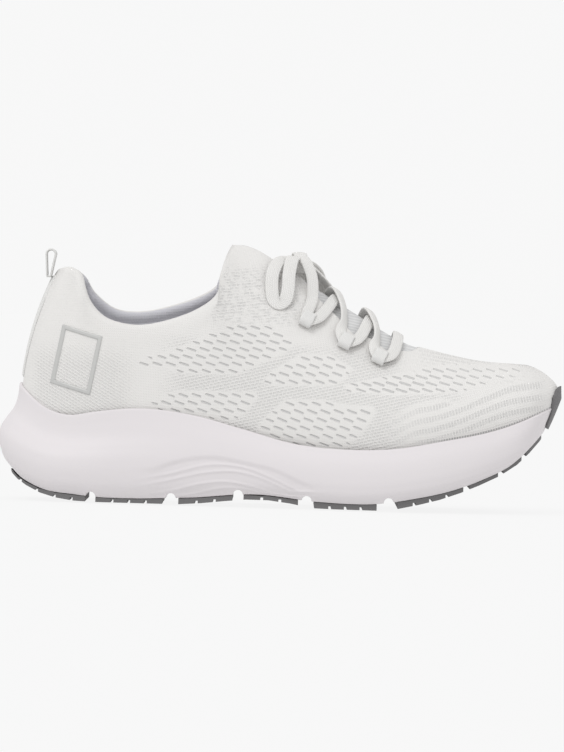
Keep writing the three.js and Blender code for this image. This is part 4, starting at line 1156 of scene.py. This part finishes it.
def groove_top(x):
    """The height of the round grooves across the foam's underside."""
    top = np.zeros_like(x)
    for place in FLEX_GROOVES:
        off = np.abs(x - place)
        arc = sole_bottom(place) + np.sqrt(np.maximum(GROOVE_RADIUS**2 - off**2, 0))
        top = np.where(off < GROOVE_RADIUS, np.maximum(top, arc), top)
    return top


def sole_ring():
    even = np.linspace(0, LAPS, 441)[:-1]
    x = inset(even, np.full_like(even, 6.0))[:, 0]
    near = [even]
    for place in FLEX_GROOVES:
        for i in np.flatnonzero(np.abs(x - place) < 4):
            near.append(even[i] + np.linspace(0, LAPS / 440, 6)[1:-1])
    return np.sort(np.concatenate(near))


def make_midsole(material):
    ring = sole_ring()
    levels = np.linspace(0, 1, 72)
    t, f = grid(ring, levels)
    points = sole_side(t, f)
    x, z = points[..., 0], points[..., 2]
    out = -inward(t)
    arch = smooth(-72, -52, x) * smooth(24, 6, x)
    press = np.zeros_like(x)
    for wave in WAVES:
        press += 0.5 * np.exp(-(((z - wave(x)) / 0.6) ** 2)) * (z > sole_bottom(x) + 0.8)
    top = HOLLOW(x)
    hollow = smooth(top + 1.2, top - 1.8, z) * smooth(-2, 3, z - sole_bottom(x))
    points = points + out * (arch * (press - hollow * 0.9))[..., None]
    points[..., 2] = np.maximum(points[..., 2], groove_top(points[..., 0]))
    normal_in = inward(ring)
    rim = points[:, -1]
    steps = []
    for angle in np.radians([35, 70, 100, 140, 180]):
        shift = normal_in * (LIP + 0.5) / 2 * (1 - math.cos(angle))
        steps.append(rim + shift + np.array([0, 0, 0.55 * math.sin(angle)]))
    steps.append(steps[-1] + normal_in * 1.5 - np.array([0, 0, 3.0]))
    side = np.concatenate([points, np.stack(steps, axis=1)], axis=1)
    parts = [(side, grid_faces(*side.shape[:2], loop=True))]
    half = ring[(ring >= 0) & (ring <= STATIONS)]
    across = np.linspace(0, 1, 24)
    low = sole_side(half, np.zeros_like(half))
    far = sole_side(LAPS - half, np.zeros_like(half))
    under = low[:, None] * (1 - across)[:, None] + far[:, None] * across[:, None]
    under[..., 2] = np.maximum(sole_bottom(under[..., 0]), groove_top(under[..., 0]))
    parts.append((under, grid_faces(*under.shape[:2])[:, ::-1]))
    made = make_mesh("midsole_skin", *joined(parts), material)
    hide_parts("midsole")


make_midsole(foam_look())

# ---- webbing, film and stitches


def strap(name, line, facing, width, thickness, material, body="shoe"):
    """A closed band of webbing along a line, with its flat side towards the facings."""
    along = unit(np.roll(line, -1, axis=0) - np.roll(line, 1, axis=0))
    rings, faces, _ = band(line, along, facing, width, thickness, (0.35, 0.6), True)
    return make_mesh(name, rings, faces, material, body=body, merge=False, flip=True)


def oval(tall, deep, count=40):
    """Points round a flat oval, in its own two directions."""
    r = deep / 2
    half = np.linspace(-math.pi / 2, math.pi / 2, count // 2)
    right = np.stack([tall / 2 - r + r * np.cos(half), r * np.sin(half)], -1)
    return np.concatenate([right, -right])


WEBBING = webbing_look("webbing", (0.76, 0.755, 0.74))


def make_loops():
    shape = oval(LOOP["tall"] - LOOP["wall"], LOOP["deep"] - LOOP["wall"])
    for side, loops in (("lateral", lateral_loops), ("medial", medial_loops)):
        for number, loop in enumerate(loops, 1):
            line = loop["at"] + shape[:, :1] * loop["up"] + shape[:, 1:] * loop["out"]
            name = f"loop_{side}_{number}"
            made = strap(name, line, line - loop["at"], LOOP["wide"], LOOP["wall"], WEBBING)
            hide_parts(f"lace_loop_{side}_{number}")


def patch(t, v, foot, thick, powers):
    """A thin piece on the upper, over grids of stations and rows, with rounded edges."""
    a, b = (np.abs(np.linspace(-1, 1, count)) for count in t.shape)
    edge = np.maximum(a[:, None] ** powers[0], b[None, :] ** powers[1])
    height = foot + thick * np.sqrt(np.maximum(1 - edge, 0))
    return at_depth(t, v, -height), grid_faces(*t.shape)


# A plain slanted frame of film: the corners of its middle line, in x and z.
BADGE_LINE = 2.3
BADGE_CORNERS = [(-108, 86), (-90, 81), (-95, 54), (-113, 59)]


def make_badges(material):
    for side, medial in (("lateral", False), ("medial", True)):
        parts = []
        for (ax, az), (bx, bz) in zip(BADGE_CORNERS, BADGE_CORNERS[1:] + BADGE_CORNERS[:1]):
            length = math.hypot(bx - ax, bz - az)
            along = np.array([bx - ax, bz - az]) / length
            s, c = grid(
                np.linspace(-BADGE_LINE / 2, length + BADGE_LINE / 2, 60),
                np.linspace(-0.5, 0.5, 9) * BADGE_LINE,
            )
            x = ax + along[0] * s - along[1] * c
            z = az + along[1] * s + along[0] * c
            parts.append(patch(*on_side_exact(x, z, medial), -0.1, 0.75, (40, 6)))
        made = make_mesh(f"badge_{side}", *joined(parts), material, flip=medial, merge=False)
        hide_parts(f"heel_badge_{side}")


PULL_BASE = np.array([-117.3, 0, 110])
PULL = {"height": 15, "radius": 2.9, "lean": 0.8, "wide": 9, "thick": 1.1}


def make_pull(material):
    """The loop of webbing at the heel, on the body that tips back."""
    r = PULL["radius"] - PULL["thick"] / 2
    top = PULL["height"] - PULL["radius"]
    angle = np.linspace(0, math.pi, 25)
    arc = vec(PULL["lean"] + r * np.cos(angle), 0, top + r * np.sin(angle))
    foot = vec([-0.9, 0.9], 0, [1.0, 1.0])
    fall = foot[:1] + (arc[-1:] - foot[:1]) * np.linspace(0.9, 0, 10)[:, None]
    rise = foot[1:] + (arc[:1] - foot[1:]) * np.linspace(0, 0.9, 10)[:, None]
    line = PULL_BASE + np.concatenate([rise, arc, fall])
    centre = PULL_BASE + [PULL["lean"], 0, top * 0.6]
    size = PULL["wide"], PULL["thick"]
    made = strap("heel_pull", line, line - centre, *size, material, "pull_loop")
    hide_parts("pull_loop")


def make_heel_tape(material):
    t, v = grid(np.linspace(-0.27, 0.27, 25), np.linspace(0.34, 0.93, 70))
    made = make_mesh("tape_at_heel", *patch(t, v, 0.1, 0.9, (6, 40)), material)
    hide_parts("heel_tape")


make_loops()
make_badges(grained_look("badge_film", (0.5, 0.5, 0.49), 0.35, 0.5, **FILM_GRAIN))
make_pull(WEBBING)
make_heel_tape(WEBBING)

# ---- CAD pieces kept as they are

RUBBER = grained_look("outsole_rubber", (0.15, 0.146, 0.148), 0.7, 0.35, **RUBBER_GRAIN)
FINISHES = {
    "pad": RUBBER,
    "toe_wrap": RUBBER,
    "sockliner": LINING_LOOK,
    "aglet": grained_look("aglet_plastic", (0.75, 0.75, 0.75), 0.35),
    "eyestay": WEBBING,
    "collar_foam": grained_look("padding", (0.6, 0.6, 0.6), 0.9),
    "": grained_look("board", (0.6, 0.59, 0.57), 0.9),
}


for name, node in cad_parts.items():
    if node.type == "MESH" and not node.hide_render:
        key = next(k for k in FINISHES if k in name)
        node.data.materials.clear()
        node.data.materials.append(FINISHES[key])
